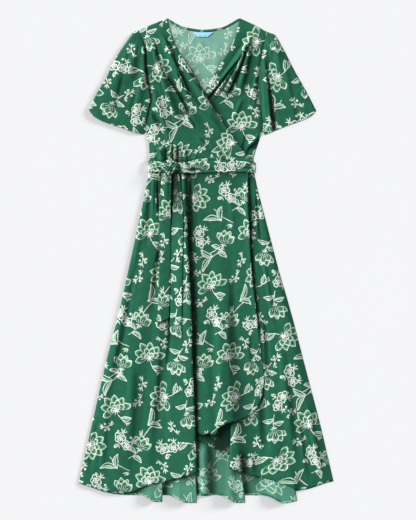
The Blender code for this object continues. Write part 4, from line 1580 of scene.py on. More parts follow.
    def side(self, stations: Sequence[Station], way: int) -> tuple[Station, ...]:
        """The armhole beside one side of the bodice, down to the underarm.

        Args:
            stations: that side.
            way: -1 for the right sleeve and 1 for the left one.

        Returns:
            The stations of the armhole.
        """
        share = np.linspace(0, 1, 40)
        seam = edge(stations, share * Sleeve.UNDERARM)
        grown = ease((share - Sleeve.GAP_START) / (1 - Sleeve.GAP_START))
        gap = Sleeve.ARMHOLE_GAP + (Sleeve.UNDERARM_GAP - Sleeve.ARMHOLE_GAP) * grown
        return tuple(Station(a, x + way * g, y) for a, (x, y), g in zip(share, seam, gap))

    def back(self) -> Cloth:
        """The back, which rests on the surface with its reverse up.

        Returns:
            The sheet.
        """
        u, v = np.linspace(0, 1, 90), np.linspace(0, 1, 96)
        across = between(edge(self.RIGHT_SIDE, v), edge(self.LEFT_SIDE, v), u)
        knots = [s.along for s in self.BACK_TOP]
        top_line = np.stack([np.interp(u, knots, [p[i] for p in self.BACK_TOP]) for i in (1, 2)], axis=1)
        neck = self.BACK_TOP[self.NECK]
        inside = (u > neck[0].along) & (u < neck[-1].along)
        top_line[inside] = edge(neck, u)[inside]
        xy = across + (top_line - across[0])[None] * ((1 - v) ** 2)[:, None, None]
        points = sheet_points(xy, FLOOR_LEVEL + waist_lift(xy[..., 1]))
        creased = crease_cloth(points, self.BACK_CREASES)
        return Cloth("back_bodice_cloth", creased, flat_cut(points, (70, 30)))

    def front(
        self,
        side: Sequence[Station],
        free_edge: Sequence[Station],
        lip: Sequence[Station],
        middle: float,
        creases: Sequence[Crease],
    ) -> np.ndarray:
        """The points of a front, as columns from the side seam to the wrapped edge.

        Args:
            side: its side seam.
            free_edge: its wrapped edge.
            lip: the heights of that edge.
            middle: the height of the cloth between.
            creases: its folds.

        Returns:
            The rows of points.
        """
        u, v = np.linspace(0, 1, self.across), np.linspace(0, 1, self.fine)
        xy = between(edge(side, v), edge(free_edge, v), u)
        lip_rise = np.maximum(level(lip, v) - middle, SEAM_LEVEL - middle)[:, None]
        u, v = u[None, :], v[:, None]
        z = SEAM_LEVEL + (middle - SEAM_LEVEL) * (ease(u / self.SEAM_EASE) * ease(v / self.SEAM_EASE))
        z = z + lip_rise * ease((u - self.LIP_START) / (1 - self.LIP_START)) * ease(v / self.LIP_EASE)
        round_edge = ((u - (1 - self.ROLL)) / self.ROLL).clip(0, 1)
        rolled = 1 - np.sqrt(np.clip(1 - round_edge**2, 0, 1))
        points = sheet_points(xy, z - self.ROLL_DROP * rolled * ease(v / self.ROLL_EASE))
        folded = crease_cloth(points, creases)
        at_edges = ease((1 - v) / self.FOLDS_AT_WAIST) * ease(u / self.FOLDS_AT_SIDE)
        made = points + (folded - points) * at_edges[..., None] * ease(v / self.FOLDS_AT_TOP)[..., None]
        made[..., 2] = np.maximum(made[..., 2], SEAM_LEVEL - self.FOLD_DEPTH)
        made[..., 2] += waist_lift(made[..., 1])
        return made

    def fronts(self) -> tuple[Cloth, Cloth]:
        """Makes both fronts.

        Returns:
            The under front, and the over front, which lies on it.
        """
        low = self.front(
            self.LEFT_SIDE, self.UNDER_EDGE, self.UNDER_LIP, self.under_level, self.UNDER_CREASES
        )[:, ::-1]
        under = Cloth("front_bodice_left_cloth", low, flat_cut(low, (35, 20)))
        high = self.front(
            self.RIGHT_SIDE, self.OVER_EDGE, self.OVER_LIP, self.over_level, self.OVER_CREASES
        )
        cut = flat_cut(high, (120, -40))
        return under, Cloth("front_bodice_right_cloth", settle(high, [under], spread=3), cut)


# ------------------------------------------------------------------------------------------------------------
# The skirt


@dataclass
class Skirt:
    """The back skirt with its fluted hem, and the two wrapped fronts."""

    rows: int = 150
    columns: int = 210
    back_columns: int = 240

    LEVELS = (0.0, 0.2, 0.55, 1.0)
    OUTER_FRONT = rows_of(
        Column,
        (RIGHT_WAIST_X, -343.4, -601.5, 0, 2.1, 2.1, 2.1, 2.1),
        (-149.5, -331, -606, 0, 3.6, 5, 5.2, 4.2), (-146, -317, -611, 0, 4.4, 6.2, 6.6, 5.2),
        (-141, -301, -615.2, 0, 4.4, 4.8, 5, 4.6), (-135, -284, -620.5, 0, 4.4, 5, 5.6, 5),
        (-129, -266, -625, 0, 4.4, 5.6, 6.8, 6), (-123.5, -247, -628, 0, 4.4, 6, 7.4, 6.6),
        (-119, -229, -629.5, 0, 4.4, 5.8, 7, 6), (-114, -210, -629, 0, 4.4, 5.4, 6, 5.2),
        (-109, -194, -625, 0, 4.4, 5.4, 5.8, 5.4), (-104, -178, -615, 0, 4.4, 5.8, 6.8, 6.8),
        (-99, -160, -608.5, 0, 4.4, 6, 7.6, 8.2), (-94, -141.5, -604.5, 0, 4.4, 5.6, 6.6, 6.8),
        (-88, -122, -600.5, 0, 4.4, 5.4, 6.4, 6.8), (-82.5, -103, -596, 2, 4.4, 5.6, 9.6, 10),
        (-77.5, -84, -590.5, 3, 4.6, 7.4, 11, 11.2),
        (-73, -66, -584, 3.5, 4.8, 9.6, 13.2, 13, 3.4),
        (-69, -58, -578, 3.5, 5.8, 12.4, 14.8, 14.4, 15),
        (-65.5, -53, -574.5, 3.5, 8, 13.8, 15, 14.8, 21),
        (-62.5, -49.5, -572, 3.5, 8.4, 12.8, 13.4, 13.2, 23.6),
        (-59.7, -47, -568.5, 3.5, 7.8, 10.6, 11.2, 11, 18),
        (-57, -44.5, -553, 3.5, 6.6, 8.4, 9.2, 9.2, 4.5),
        (-54.3, -42, -538, 3.5, 5.4, 6.8, 8.2, 8.2, -20),
        (-51.7, -39.5, -522, 3.5, 4.4, 6.2, 7.4, 7.4, -38),
        (-49, -37.5, -516, 3.5, 4.4, 5.4, 6.2, 6.2, -44),
        (-46.5, -35.5, -511, 3.5, 4.4, 4.8, 4.9, 4.9, -42.5),
        (-43.5, -33, -500, 3.5, 4.4, 4.5, 4.6, 4.6, -33),
        (-39.5, -30, -482, 3, 4.4, 4.5, 4.7, 4.7, -16), (-34, -25, -463.5, 2, 4.4, 4.6, 5.2, 7.6, -2),
        (-26, -11.9, -470.5, 0, 4.4, 5.2, 6.4, 12), (-16.5, 5, -466.5, 0, 4.4, 5.4, 6.2, 13.4),
        (-6, 22, -471.5, -1, 4.4, 5, 5.4, 12.6), (4, 33, -452, -2, 4.4, 5, 6, 14),
        (17, 48, -442, -3, 4.4, 5.4, 8, 16), (31, 66, -437, -4, 4.4, 5.2, 8.8, 14.2),
        (45, 82, -433.5, -5, 4.4, 5, 7.2, 8.6), (59, 98, -428.5, -6, 4.4, 5.2, 5.6, 5.6),
        (73, 114, -419, -7, 4.4, 5.8, 6.2, 4.6), (87, 128.5, -407.5, -8, 4.4, 5.6, 6.8, 4.5),
        (98, 142, -384, -9, 4.4, 6, 6.8, 4.4), (107, 150, -357, -10, 4.5, 7.2, 7.4, 4.3),
        (113, 153, -334, -10, 4.6, 8.4, 8.4, 4.3), (116.6, 154, -316, -10, 4.5, 8, 8, 4.2),
    )
    INNER_FRONT = rows_of(
        Column,
        (-95, -95, -360, 0, 2.7, 2.7, 2.7, 2.7), (-75, -84, -410, 0, 2.7, 2.7, 2.7, 2.7),
        (-55, -62, -455, 0, 2.7, 2.7, 2.7, 2.7), (-35, -38, -481, 0, 2.7, 2.7, 2.7, 3.4),
        (-15, -13, -493, 0, 2.7, 2.7, 2.7, 4.2), (2, 12, -504.5, 0, 2.7, 2.7, 2.7, 4.4),
        (14, 32, -513, 0, 2.7, 2.7, 2.7, 4.2), (22, 48, -534, 0, 2.7, 2.7, 2.7, 3),
        (25, 57, -549, 0, 2.7, 2.7, 2.7, 2.8, 6), (27, 61.5, -556, 0, 2.7, 2.7, 2.8, 3, 13),
        (28.8, 64.5, -559, 0, 2.7, 2.7, 2.9, 4.2, 14.5), (30.6, 67.5, -560, 0, 2.7, 2.7, 3, 6.6, 9.5),
        (32.4, 70.5, -560.5, 0, 2.7, 2.7, 3.1, 8.2, -3), (34.2, 73.5, -560.5, 0, 2.7, 2.7, 3.2, 10, -12),
        (36, 76.5, -560.5, 0, 2.7, 2.7, 3.3, 12.4, -15.5),
        (38.5, 80, -561, 0, 2.7, 2.7, 3.3, 13.6, -15), (42, 85, -563, 0, 2.7, 2.7, 3.2, 13.6, -10),
        (47.5, 92, -568.5, 0, 2.7, 2.7, 3, 11, -2), (54, 103, -575, 0, 2.7, 2.7, 2.8, 8),
        (62, 118, -579.5, 0, 2.7, 2.7, 2.7, 6.2), (70, 135, -583.5, 0, 2.7, 2.7, 2.7, 6),
        (78.5, 153, -587, 0, 2.7, 2.7, 2.7, 7.4), (87, 172, -591.5, 0, 2.7, 2.7, 3, 9.6),
        (95, 190, -597, 0, 2.7, 2.8, 4, 9.8), (101, 205, -603, 0, 2.7, 3, 5, 8),
        (106.5, 221, -609.5, 0, 2.7, 3.4, 5.6, 6.6), (111.5, 240, -617.5, 0, 2.7, 3.6, 5.6, 6.8),
        (115.5, 259, -620, 0, 2.7, 4.2, 5.4, 7.2), (119, 278, -616.5, 0, 2.7, 4.8, 6, 6.2),
        (122.5, 296, -611, 0, 2.7, 5.2, 6.6, 5.6), (124.8, 313, -605.5, 0, 2.6, 5, 6.2, 5.2),
        (126.6, 329, -600, 0, 2.4, 3.8, 4.2, 3.8), (LEFT_WAIST_X, 343.4, -596, 0, 2.1, 2.1, 2.1, 2.1),
    )
    OUTER_FOLD, INNER_FOLD = (16, 28), (8, 17)
    OUTER_FOLD_START, INNER_FOLD_START = 0.0, 0.78
    FOLD_GROWTH = 1.4
    SIDE_TRIM = rows_of(
        Station,
        (0, 0, 0), (0.02, 2.4, 2.8), (0.08, 3.5, 4.8), (0.20, 4.8, 4.2), (0.32, 5.2, 3.4),
        (0.42, 5.6, 0.2), (0.50, 4.6, -1.4), (0.62, 0.8, -1.8), (0.80, 0, -3), (1, 0, 0),
    )
    SIDE_HEM_Y = -600.0
    BACK_HEM = rows_of(
        Station,
        (0, -343.4, -602), (0.06, -306, -615), (0.13, -258, -629.5), (0.20, -210, -633.5),
        (0.50, 0, -634), (0.80, 175, -634), (0.885, 243, -623), (0.94, 296, -609.5),
        (1, 343.4, -596.5),
    )
    FLUTES = rows_of(
        Flute,
        (-120, 48, 10.5, 15, 17), (-26, 70, 11.5, 16, 19), (104, 60, 12, 16, 19), (244, 84, 11, 16, 22),
    )
    FLUTE_START, FLUTE_GROWTH = 0.78, 1.5  # where down the back they start, and how they grow from there
    FLUTE_FALL = 12.0  # millimetres from the crest down to its edge
    FLUTE_RISE = 0.38  # the share of the width in which it comes up
    FLUTE_SINK = 0.66  # the share in which its hem comes down
    LOW_START, LOW_EASE = 0.8, 0.08  # where down the back its creases come in
    OUTER_CREASES = rows_of(
        Crease,
        (-189, 30, -262, -376, 10, 16, -2.8, 0, 6), (-150, 190, -160, 20, 8, 12, -2.4),
        (-122, 60, -146, -150, 7, 10, -2.6, 0, -3), (-118, -230, -140, -500, 10, 16, -2.8, 0, 4),
        (-200, -260, -216, -560, 14, 20, 2.8, 0, 4), (-96, -110, -104, -330, 6, 8, -2.4),
        (-132, 226, -128, 120, 4, 6, -3.4), (-142, 232, -146, 120, 5, 9, 2.4),
        (-42, 230, -38, 90, 5, 9, -2.2), (64, 236, 74, 60, 9, 14, 1.6, 0, -3),
        (70, -40, 78, -330, 12, 22, -3.4), (34, -120, 38, -400, 18, 26, 2), (118, 150, 130, 66, 5, 6, -4),
        (104, 200, 118, 60, 6, 8, 2.4), (118, -200, 132, -330, 8, 9, -2.4),
        (-290, -420, -318, -600, 8, 14, -2.2), (-268, -380, -286, -600, 8, 12, 2),
    )
    INNER_CREASES = rows_of(
        Crease,
        (150, -300, 164, -560, 12, 18, -4.2, 0, -2), (158, -140, 172, -360, 8, 12, -2.8),
        (196, -200, 236, -520, 14, 20, 2.8), (218, -300, 256, -590, 10, 16, -2.2),
        (150, 30, 186, -200, 7, 10, 2.4), (134, 190, 150, 20, 5, 7, -2.6), (120, -520, 124, -580, 8, 12, 3),
        (270, -380, 312, -590, 8, 14, 2.6), (254, -420, 282, -600, 6, 10, -2),
    )
    BACK_CREASES = rows_of(
        Crease,
        (-10, -430, -2, -760, 26, 26, 12), (64, -490, 70, -700, 12, 18, 3),
        (150, -560, 156, -640, 12, 16, 2.4), (-180, -590, -186, -640, 10, 14, 2),
    )
    HEM_TURN = 4.6  # the turned hem that shows on the reverse
    HEM_ROLL = ((1.0, 1.0), (0.5, 1.06), (0.0, 1.0), (-0.14, 0.7), (-0.18, 0.1), (-0.14, -0.3))
    HEM_FRAME, HEM_GAP, HEM_LOW = 6, 0.05, 0.3  # the rows that give its way, its gap and its least height
    HEM_CUT = (690.0, 7.0)  # the size of its flat cut
    # Where the painted shade in the mouth of the inner front's fold starts, how softly, and where it ends, in
    # columns.
    MOUTH_X, MOUTH_SOFT_X, MOUTH_Y, MOUTH_SOFT_Y = 6.0, 22.0, -560.0, 60.0
    MOUTH_COLUMN, MOUTH_SOFT_COLUMN = 13.6, 1.6
    # The painted shade in the opening between the fronts: how deep it is, then where it starts at the left, the
    # right and the top and how softly.
    OPENING_SHADE = 0.72
    OPENING = ((-4.0, 16.0), (84.0, 44.0), (-430.0, 40.0))

    def trimmed(self, x: np.ndarray, y: np.ndarray, waist_x: np.ndarray) -> np.ndarray:
        """Places moved sideways so that the side seams follow SIDE_TRIM and the cloth goes along.

        Args:
            x: across, before the move.
            y: down the dress.
            waist_x: where each line of cloth starts.

        Returns:
            The new x.
        """
        share = np.clip((waist_x - RIGHT_WAIST_X) / (LEFT_WAIST_X - RIGHT_WAIST_X), 0, 1)
        depth = np.clip((WAIST_Y - y) / (WAIST_Y - self.SIDE_HEM_Y), 0, 1)
        trim = edge(self.SIDE_TRIM, depth.ravel()).reshape(depth.shape + (2,))
        return x + trim[..., 0] * (1 - share) - trim[..., 1] * share

    def panel(self, table: Sequence[Column], fold_start: float) -> np.ndarray:
        """The points of a front, finer than its table of columns.

        Args:
            table: its columns.
            fold_start: where down the skirt its deep fold starts to open.

        Returns:
            The rows of points.
        """
        fine = monotone(range(len(table)), table, np.linspace(0, len(table) - 1, self.columns))
        waist_x, hem_x, hem_y, bow = fine[:, 0], fine[:, 1], fine[:, 2], fine[:, 3]
        v = np.linspace(0, 1, self.rows)[:, None]
        top_y = WAIST_Y - CLEAR / 2
        y = top_y + (hem_y - top_y) * v
        x = waist_x + (hem_x - waist_x) * v + bow * np.sin(math.pi * v)
        x = x + fine[:, 8] * np.clip((v - fold_start) / (1 - fold_start), 0, 1) ** self.FOLD_GROWTH
        z = monotone(self.LEVELS, fine[:, 4:8].T, v[:, 0])
        return np.stack([self.trimmed(x, y, waist_x), y, z + waist_lift(y)], axis=2)

    def fold_columns(self, table: Sequence[Column], fold: tuple[int, int]) -> tuple[int, int]:
        """The fine columns of a deep fold, from those of its table."""
        scale = (self.columns - 1) / (len(table) - 1)
        return round(fold[0] * scale), round(fold[1] * scale)

    def back(self) -> Cloth:
        """The back, which rests on the surface with its reverse up and its hem in flutes.

        Returns:
            The sheet.
        """
        hem_x = np.linspace(self.BACK_HEM[0].x, self.BACK_HEM[-1].x, self.back_columns)
        shares = np.interp(hem_x, [s.x for s in self.BACK_HEM], [s.along for s in self.BACK_HEM])
        hem_y = edge(self.BACK_HEM, shares)[:, 1]
        v = np.linspace(0, 1, self.rows)[:, None]
        top_y = WAIST_Y - CLEAR / 2
        u = (hem_x - hem_x[0]) / (hem_x[-1] - hem_x[0])
        waist_x = RIGHT_WAIST_X + (LEFT_WAIST_X - RIGHT_WAIST_X) * u
        y = top_y + (hem_y - top_y) * v
        x = self.trimmed(waist_x + (hem_x - waist_x) * v, y, waist_x)
        flat = places(x, y)
        z = np.full_like(x, FLOOR_LEVEL)
        grown = ease((v - self.FLUTE_START) / (1 - self.FLUTE_START)) ** self.FLUTE_GROWTH
        for flute in self.FLUTES:
            crest = flute.edge_x - flute.lean
            rise = ease((hem_x - crest + flute.width) / (flute.width * self.FLUTE_RISE))
            wave = rise * (1 - ease((hem_x - crest) / self.FLUTE_FALL))
            z = z + flute.height * wave * grown
            x = x + flute.lean * wave * grown
            sink = ease((hem_x - crest + flute.width) / (flute.width * self.FLUTE_SINK))
            y = y - flute.drop * wave * sink * grown
        points = np.stack([x, y, z + waist_lift(y)], axis=2)
        low = ease((v - self.LOW_START) / self.LOW_EASE)
        creased = crease_cloth(points, self.BACK_CREASES)
        points[..., 2] += (creased[..., 2] - points[..., 2]) * low
        return Cloth("back_skirt_cloth", points, flat + np.array((10, 60)))

    def hem_turn(self, back: Cloth) -> Cloth:
        """The narrow turned hem of the back, made from its last rows and moved out of its reverse.

        Args:
            back: the back.

        Returns:
            The strip.
        """
        last = back.points[-1]
        inward = back.points[-self.HEM_FRAME] - last
        inward = inward / np.linalg.norm(inward, axis=1, keepdims=True)
        up = np.cross(np.gradient(last, axis=0), -inward)
        up = up / np.linalg.norm(up, axis=1, keepdims=True)
        up = np.where(up[:, 2:] < 0, -up, up)
        rise = (back.wall + EDGE_WALL) / 2 + self.HEM_GAP
        points = np.stack(
            [last + inward * self.HEM_TURN * share + up * rise * height for share, height in self.HEM_ROLL]
        )
        points[..., 2] = np.maximum(points[..., 2], self.HEM_LOW)
        x = np.linspace(0, self.HEM_CUT[0], points.shape[1])
        cut = places(x, np.linspace(0, -self.HEM_CUT[1], len(points))[:, None])
        return Cloth("back_skirt_hem", points, cut + np.array((0, 150)), wall=EDGE_WALL)

    def front(
        self,
        name: str,
        table: Sequence[Column],
        fold: tuple[int, int],
        fold_start: float,
        creases: Sequence[Crease],
        below: Sequence[Cloth],
        slide: tuple[float, float],
    ) -> Cloth:
        """A front, laid on the cloth below it.

        Args:
            name: the piece's name.
            table: its columns.
            fold: the first and last of those in its deep fold.
            fold_start: where down the skirt that fold starts to open.
            creases: its soft folds.
            below: what it lies on.
            slide: where its cut lies under the print.

        Returns:
            The sheet.
        """
        points = crease_cloth(self.panel(table, fold_start), creases)
        points = settle(points, below, fold=self.fold_columns(table, fold))
        return Cloth(name, points, flat_cut(points, slide))

    def fronts(self, back: Cloth) -> tuple[Cloth, Cloth]:
        """Makes both fronts.

        Args:
            back: the back.

        Returns:
            The inner front, which lies on the back, and the outer front, which lies on both.
        """
        inner = self.front(
            "skirt_front_inner_cloth",
            self.INNER_FRONT,
            self.INNER_FOLD,
            self.INNER_FOLD_START,
            self.INNER_CREASES,
            [back],
            (150, 15),
        )
        outer = self.front(
            "skirt_front_outer_cloth",
            self.OUTER_FRONT,
            self.OUTER_FOLD,
            self.OUTER_FOLD_START,
            self.OUTER_CREASES,
            [back, inner],
            (40, -25),
        )
        return inner, outer

    def mouth_shade(self, inner: Cloth) -> np.ndarray:
        """The painted shade of the inner front in the mouth of its fold, below the outer front's hem.

        Args:
            inner: the inner front.

        Returns:
            The painted shade, from 0 to 1, for each point.
        """
        column = np.linspace(0, len(self.INNER_FRONT) - 1, self.columns)[None, :]
        x, y = inner.points[..., 0], inner.points[..., 1]
        across = ease((x - self.MOUTH_X) / self.MOUTH_SOFT_X)
        across = across * ease((self.MOUTH_COLUMN - column) / self.MOUTH_SOFT_COLUMN)
        return across * ease((y - self.MOUTH_Y) / self.MOUTH_SOFT_Y)

    def opening_shade(self, back: Cloth) -> np.ndarray:
        """The painted shade of the back in the opening between the fronts.

        Args:
            back: the back.

        Returns:
            The painted shade, from 0 to 1, for each point.
        """
        x, y = back.points[..., 0], back.points[..., 1]
        (left, soft_left), (right, soft_right), (top, soft_top) = self.OPENING
        across = self.OPENING_SHADE * ease((x - left) / soft_left) * ease((right - x) / soft_right)
        return across * ease((top - y) / soft_top)


# ------------------------------------------------------------------------------------------------------------
# The sleeves


@dataclass
class Sleeve:
    """A flutter sleeve: a flattened open tube from the armhole to the hem, folded at its outer edge."""

    name: str
    way: int  # -1 for the wearer's right and 1 for the left
    side: tuple
    outer: tuple
    hem: tuple
    creases: tuple
    slide: tuple
    turn: float

    UNDERARM = 0.74  # where down the side of the bodice the armhole ends
    ARMHOLE_GAP, UNDERARM_GAP, GAP_START = 0.1, 1.2, 0.85  # how far it is from the bodice, and where that grows
    SEAM_EASE = 0.12  # the share across in which the tube rises from its edges
    FOLD_RISE, FOLD_REACH, FOLD_START = 2.8, 0.35, 0.15  # at the outer fold, its share across and its start
    FOLD_MIDDLE = 0.4  # the share of it that the fold itself has
    PUFF, PUFF_REACH, PUFF_START = 2.4, 0.2, 0.05
    LEAST_FOLD = 0.25  # the share of the folds at the edges
    FOLDS_AT_TOP, FOLDS_AT_UNDERARM = 0.03, 0.15  # how soon they are full from there

    def cloth(self, armhole: tuple[Station, ...]) -> Cloth:
        """The tube, as columns round it from the outer fold over the top to the underarm and back below.

        Args:
            armhole: the stations of the armhole.

        Returns:
            The sheet, a ring.
        """
        outer = (Station(0, armhole[0].x, armhole[0].y),) + self.outer
        underarm = (Station(0, armhole[-1].x, armhole[-1].y), Station(1, self.hem[-1].x, self.hem[-1].y))
        w, v = np.linspace(0, 1, 84), np.linspace(0, 1, 72)
        xy = patch(armhole, self.hem, outer, underarm, w, v)
        under = slice(-2, 0, -1)
        w, v = w[None, :], v[:, None]
        upper = sheet_points(xy, SEAM_LEVEL)
        upper[..., 2] += self.FOLD_RISE * (1 - ease(w / self.FOLD_REACH)) * ease(v / self.FOLD_START)
        puffed = ease(w / self.PUFF_REACH) * ease((1 - w) / self.PUFF_REACH)
        upper[..., 2] += self.PUFF * puffed * ease(v / self.PUFF_START)
        folded = crease_cloth(upper, self.creases)
        rise = ease(w / self.SEAM_EASE) * ease((1 - w) / self.SEAM_EASE)
        kept = ease(v / self.FOLDS_AT_TOP) * (self.LEAST_FOLD + (1 - self.LEAST_FOLD) * rise)
        kept = kept * ease((1 - w) / self.FOLDS_AT_UNDERARM)
        upper = upper + (folded - upper) * kept[..., None]
        upper[..., 2] = np.maximum(upper[..., 2], FLOOR_LEVEL + WALL + CLEAR)
        lower = sheet_points(xy[:, under], FLOOR_LEVEL)
        middle = (FLOOR_LEVEL + SEAM_LEVEL) / 2
        upper[:, -1, 2] = middle
        upper[:, :1, 2] = middle + self.FOLD_RISE * self.FOLD_MIDDLE * ease(v / self.FOLD_START)
        points = np.concatenate([upper, lower, upper[:, :1]], axis=1)
        plan = np.concatenate([xy, xy[:, under], xy[:, :1]], axis=1)
        return Cloth(self.name, points, turned(plan, self.slide, self.turn), ring=True)


RIGHT_SLEEVE = Sleeve(
    "sleeve_right_cloth", -1, Bodice.RIGHT_SIDE,
    rows_of(
        Station,
        (0.08, -192, 617), (0.17, -205, 601), (0.38, -236.5, 556), (0.52, -253.5, 527), (0.64, -267, 496),
        (0.84, -294.5, 451), (1, -316, 404),
    ),
    rows_of(
        Station,
        (0, -316, 404), (0.10, -301, 386.5), (0.35, -262, 367.5), (0.56, -229, 357), (0.85, -187, 342),
        (1, -169, 338.5),
    ),
    rows_of(
        Crease,
        (-184, 606, -214, 470, 8, 22, 3.2, 0), (-172, 588, -172, 440, 8, 16, 3, 3),
        (-200, 600, -262, 440, 8, 22, 2.4, 0), (-168, 540, -196, 360, 9, 22, 2.8, 0),
        (-186, 606, -199, 552, 3, 5, -2.4), (-176, 592, -184, 536, 3, 5, 1.6),
        (-194, 610, -222, 548, 3, 6, 1.6), (-166, 578, -166, 520, 3, 5, -2.2),
        (-224, 500, -252, 384, 7, 12, -1.8), (-186, 470, -208, 366, 6, 11, -2.2),
    ),
    (230, 90), 24,
)
LEFT_SLEEVE = Sleeve(
    "sleeve_left_cloth", 1, Bodice.LEFT_SIDE,
    rows_of(
        Station,
        (0.05, 172, 613.5), (0.14, 185, 607), (0.30, 205.5, 574), (0.57, 239, 509), (0.80, 272, 451),
        (1, 297, 402),
    ),
    rows_of(
        Station,
        (0, 297, 402), (0.07, 288, 391), (0.32, 252, 373), (0.56, 218, 361.5), (0.79, 185, 348),
        (1, 159, 337.5),
    ),
    rows_of(
        Crease,
        (178, 604, 204, 490, 8, 16, 3, 0), (154, 596, 175, 260, 5, 17, 3, 2, -3),
        (158, 500, 182, 250, 7, 14, 2.4, 1.5), (168, 480, 203, 246, 7, 17, -1.6),
        (186, 600, 240, 400, 8, 20, 2.4, 0), (150, 500, 160, 372, 5, 6, 2.4, 0),
        (166, 600, 178, 545, 3, 5, 2.4), (174, 604, 192, 552, 3, 5, 2.2), (160, 580, 164, 530, 3, 5, 1.6),
        (160, 560, 198, 262, 4, 14, -1.6, 0, -3), (222, 500, 262, 330, 8, 14, -1.8),
        (196, 560, 216, 470, 5, 8, -1.5),
    ),
    (20, 210), -20,
)


# ------------------------------------------------------------------------------------------------------------
# The sash


@dataclass
class Sash:
    """The tie belt: its stretches round the waist, the knot and the two hanging ends."""

    wall: float = 0.9
    end_wall: float = 1.2
    turn_under: float = 9.0
    pleat: float = 0.9

    CENTRE = rows_of(
        Station,
        (0, -153.6, 253.5), (0.12, -128, 251), (0.24, -95, 249), (0.36, -60, 248.5), (0.55, -12, 254),
        (0.75, 50, 257), (0.92, 108, 254), (1, 131, 249),
    )
    HALF_HEIGHT = rows_of(
        Station,
        (0, 16.5, 0), (0.12, 14, 0), (0.24, 12, 0), (0.36, 14.5, 0), (0.55, 19, 0), (0.75, 21, 0),
        (0.92, 18, 0), (1, 13.5, 0),
    )
    CREASES = rows_of(
        Crease,
        (-150, 262, -104, 252, 3, 5, 2.2), (-148, 246, -110, 246, 3, 4, -1.6),
        (-76, 252, 20, 262, 4, 7, 2, 0, 2), (-74, 244, 60, 244, 3, 6, -1.4, 0, -2),
        (-70, 248, -10, 250, 3, 5, 1.4), (126, 258, 60, 268, 4, 7, 1.6), (128, 246, 70, 250, 3, 6, -1.4),
        (128, 240, 84, 240, 3, 4, 1.2), (-20, 266, 80, 272, 4, 6, -1),
    )
    # How the ends of the front stretch go round the sides: how far out, and the share of its height there.
    TURN_DOWN = (
        (1.0, 0.95), (1.8, 0.82), (2.4, 0.68), (2.6, 0.55), (2.5, 0.4), (2.2, 0.25), (1.5, 0.1), (0.6, 0.0),
        (-4.0, 0.0),
    )
    GATHER_LEFT, GATHER_RIGHT = 0.2, 0.1  # the shares of the front stretch in which its pleats come in
    PLEATS, PLEAT_SHARE = 2.2, 0.6  # how many waves it has across, and the share of a pleat's height in them
    EDGE_DROP = 8  # how sharply the long edges turn down
    FRONT_TURN, CUT_HALF = -2.0, 20  # the turn of its cut under the print, and half the cut's width
    KNOT = (-98.0, 250.0, 13.65)
    KNOT_HALF = (26.0, 19.0, 5.6)
    KNOT_FLATTEN = 0.55
    KNOT_CUT = (1.15, 0.03, 0.02)  # how much larger its cut is than it looks, and where it lies in metres
    PLY = 0.75  # how high the plies of the band over the knot stand
    END_SHORT = rows_of(
        Station,
        (0, -107, 233), (0.10, -108.5, 190), (0.25, -111, 130), (0.6, -111, -10), (1, -116, -165),
    )
    END_LONG = rows_of(
        Station,
        (0, -83, 234), (0.08, -79, 200), (0.2, -77, 150), (0.6, -79, -20), (1, -82, -205),
    )
    END_HALF_WIDTH = 15.5
    END_OPENS, TIP_START = 0.3, 0.8  # where an end is as wide as it gets, and where its tip starts
    END_CROWN, END_THINS = 1.1, 0.6  # how high its middle stands, and how much of that it loses going down
    END_COMES_DOWN = 0.24  # how soon it is down from the knot
    END_FOLD, END_FOLD_LOW = 1.5, -0.4  # the height of the fold below the knot, and its least
    END_FOLD_AT, END_FOLD_REACH, END_FOLD_WAVE = 0.03, 0.16, 3.4
    END_DRIFT, END_DRIFT_WAVE = 0.5, 9  # how much and how often the end rocks from side to side
    # The painted shade of the long end beside the short one: how deep, where it fades down it and across it.
    TUCK_SHADE, TUCK_DOWN, TUCK_ACROSS = 0.95, (0.08, 0.34), (1.15, 0.7)
    BAND_NARROW, BAND_END, BAND_EDGE = 0.72, 0.72, 0.30  # the band over the knot: its waist and how it falls
    BAND_CUT = 1.3  # how much longer its cut is than it looks

    def front(self, below: Sequence[Cloth]) -> Cloth:
        """The stretch across the front, whose ends fold round the sides and a little under the back.

        Args:
            below: what it lies on.

        Returns:
            The sheet.
        """
        t, s = np.linspace(0, 1, 170), np.linspace(-1, 1, 27)[None, :]
        centre, half = edge(self.CENTRE, t), level(self.HALF_HEIGHT, t)
        t = t[:, None]
        xy = places(centre[:, :1], centre[:, 1:] - s * half[:, None])
        front = settle(sheet_points(xy, SEAM_LEVEL + SASH_LIFT), below, spread=5, wall=self.wall)
        gathered = ease(t / self.GATHER_LEFT) * ease((1 - t) / self.GATHER_RIGHT)
        front[..., 2] += self.pleat * (1 + np.cos(s * self.PLEATS * math.pi) * gathered * self.PLEAT_SHARE)
        front[..., 2] -= np.abs(s) ** self.EDGE_DROP
        front[..., 2] = crease_cloth(front, self.CREASES)[..., 2]
        ends = []
        for last, way in ((front[0], -1), (front[-1], 1)):
            lines = []
            for out, height in (*self.TURN_DOWN, (-self.turn_under, 0.0)):
                line = last.copy()
                line[:, 0] += way * out
                line[:, 2] = self.wall / 2 + (last[:, 2] - self.wall / 2) * height
                lines.append(line)
            ends.append(np.array(lines))
        points = np.concatenate([ends[0][::-1], front, ends[1]], axis=0)
        along = distances(points[:, s.size // 2])[:, None]
        cut = np.swapaxes(turned(places(along, -s * self.CUT_HALF), (150, 150), self.FRONT_TURN), 0, 1)
        return Cloth("sash_front_cloth", np.swapaxes(points, 0, 1), cut, wall=self.wall, turn=self.FRONT_TURN)

